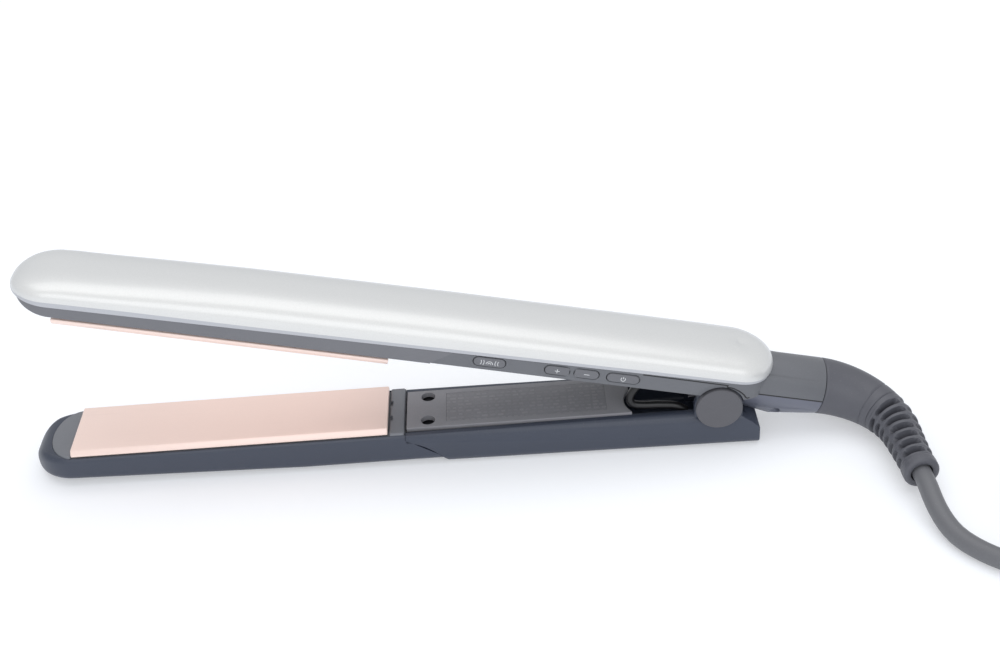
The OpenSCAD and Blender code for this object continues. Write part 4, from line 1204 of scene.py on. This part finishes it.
def makeElbow():
    count = int(elbowLength / elbow["fine"])
    stations = [elbowLength * i / count for i in range(count + 1)]
    mouth = [(elbowLength + back, r) for back, r in elbow["throat"]]

    def place(column, row):
        a = 360 * row / elbow["sides"]
        if column <= count:
            s = stations[column]
            r = elbowRadius(s, a)
        else:
            s, r = mouth[column - count - 1]
        centre, heading = elbowPoint(s)
        across = heading.cross(Vector((0, 0, 1)))
        return centre + r * (cos(radians(a)) * across + sin(radians(a)) * Vector((0, 0, 1)))
    boot = skin("strainRelief", count + 1 + len(mouth), elbow["sides"] + 1, place)
    closeHoles(boot)
    boot.data.transform(Matrix.Translation((0, 0, collar["axis"])))
    return placeIn(boot, "upper", "cord_swivel", look["bootRubber"], ("strain_relief",), 40)


makeElbow()

# Sleeved leads beside the hinge

loop = {"y": -8, "radius": 1.4, "sides": 16, "step": 0.7}
loopRoute = [(x, loop["y"], z) for x, z in [
    (-25.5, 26.6), (-27.6, 24), (-29.6, 20.8), (-30, 18), (-28.6, 16.2), (-25, 15.6), (-20, 15.4), (-14, 14.6),
    (-10.5, 12.4)]]
loopMesh = tube("leadLoop", smoothLine(loopRoute, loop["step"])[0], loop["radius"], loop["sides"])
placeIn(loopMesh, "row", "lower_arm", look["sleeve"], ("lead_loop",), 40)

# Inner CAD nodes keep their shape and get their finish

nodeFinish = {"upper_heater": "heaterCeramic", "lower_heater": "heaterCeramic",
              "upper_thermal_fuse": "sensorGlass", "lower_thermistor": "sensorGlass",
              "upper_float_pads": "silicone", "lower_float_pads": "silicone",
              "control_board": "circuitBoard", "board_parts": "boardPart", "tact_switches": "boardPart",
              "status_light": "lampLens", "upper_leads": "leadInsulation", "lower_leads": "leadInsulation",
              "housing_screws": "brightSteel", "cover_screws": "darkScrew", "hinge_pin": "brightSteel",
              "hinge_spring": "springSteel", "swivel_barrel": "housingPlastic"}
for nodeName, finish in nodeFinish.items():
    materials = nodes[nodeName].data.materials
    materials.clear()
    materials.append(look[finish])

# Floor and light

studio = {"floor": (214, 217, 222), "glow": 0.34, "sky": 0.7, "key": 9, "fill": 9.5}
clearPick()
bpy.ops.mesh.primitive_plane_add(size=8, location=(0, 0.5, -0.0002))
floor = bpy.context.object
floor.name = "tableTop"
floorMaterial, floorShader = newFinish("tableTop")[::2]
floorShader.inputs["Base Color"].default_value = paint(*studio["floor"])
floorShader.inputs["Roughness"].default_value = 0.65
floorShader.inputs["Emission Color"].default_value = (1, 1, 1, 1)
floorShader.inputs["Emission Strength"].default_value = studio["glow"]
floor.data.materials.append(floorMaterial)

world = bpy.data.worlds.new("studioSky")
world.use_nodes = True
world.node_tree.nodes["Background"].inputs["Color"].default_value = (0.97, 0.98, 1, 1)
world.node_tree.nodes["Background"].inputs["Strength"].default_value = studio["sky"]
bpy.context.scene.world = world
bpy.context.scene.view_settings.view_transform = "Standard"


def addPanel(name, size, place, target, power, color=(1, 1, 1)):
    panelData = bpy.data.lights.new(name, "AREA")
    panelData.shape = "RECTANGLE"
    panelData.size, panelData.size_y = size
    panelData.energy = power
    panelData.color = color
    panel = bpy.data.objects.new(name, panelData)
    bpy.context.scene.collection.objects.link(panel)
    panel.location = place
    panel.rotation_euler = (Vector(target) - Vector(place)).to_track_quat("-Z", "Y").to_euler()


addPanel("keyPanel", (1.8, 1.2), (-0.1, 0.3, 1.6), (-0.05, 0, 0), studio["key"])
addPanel("fillPanel", (2.2, 1.2), (0.1, -1.4, 0.9), (0, 0, 0), studio["fill"], (0.95, 0.97, 1))
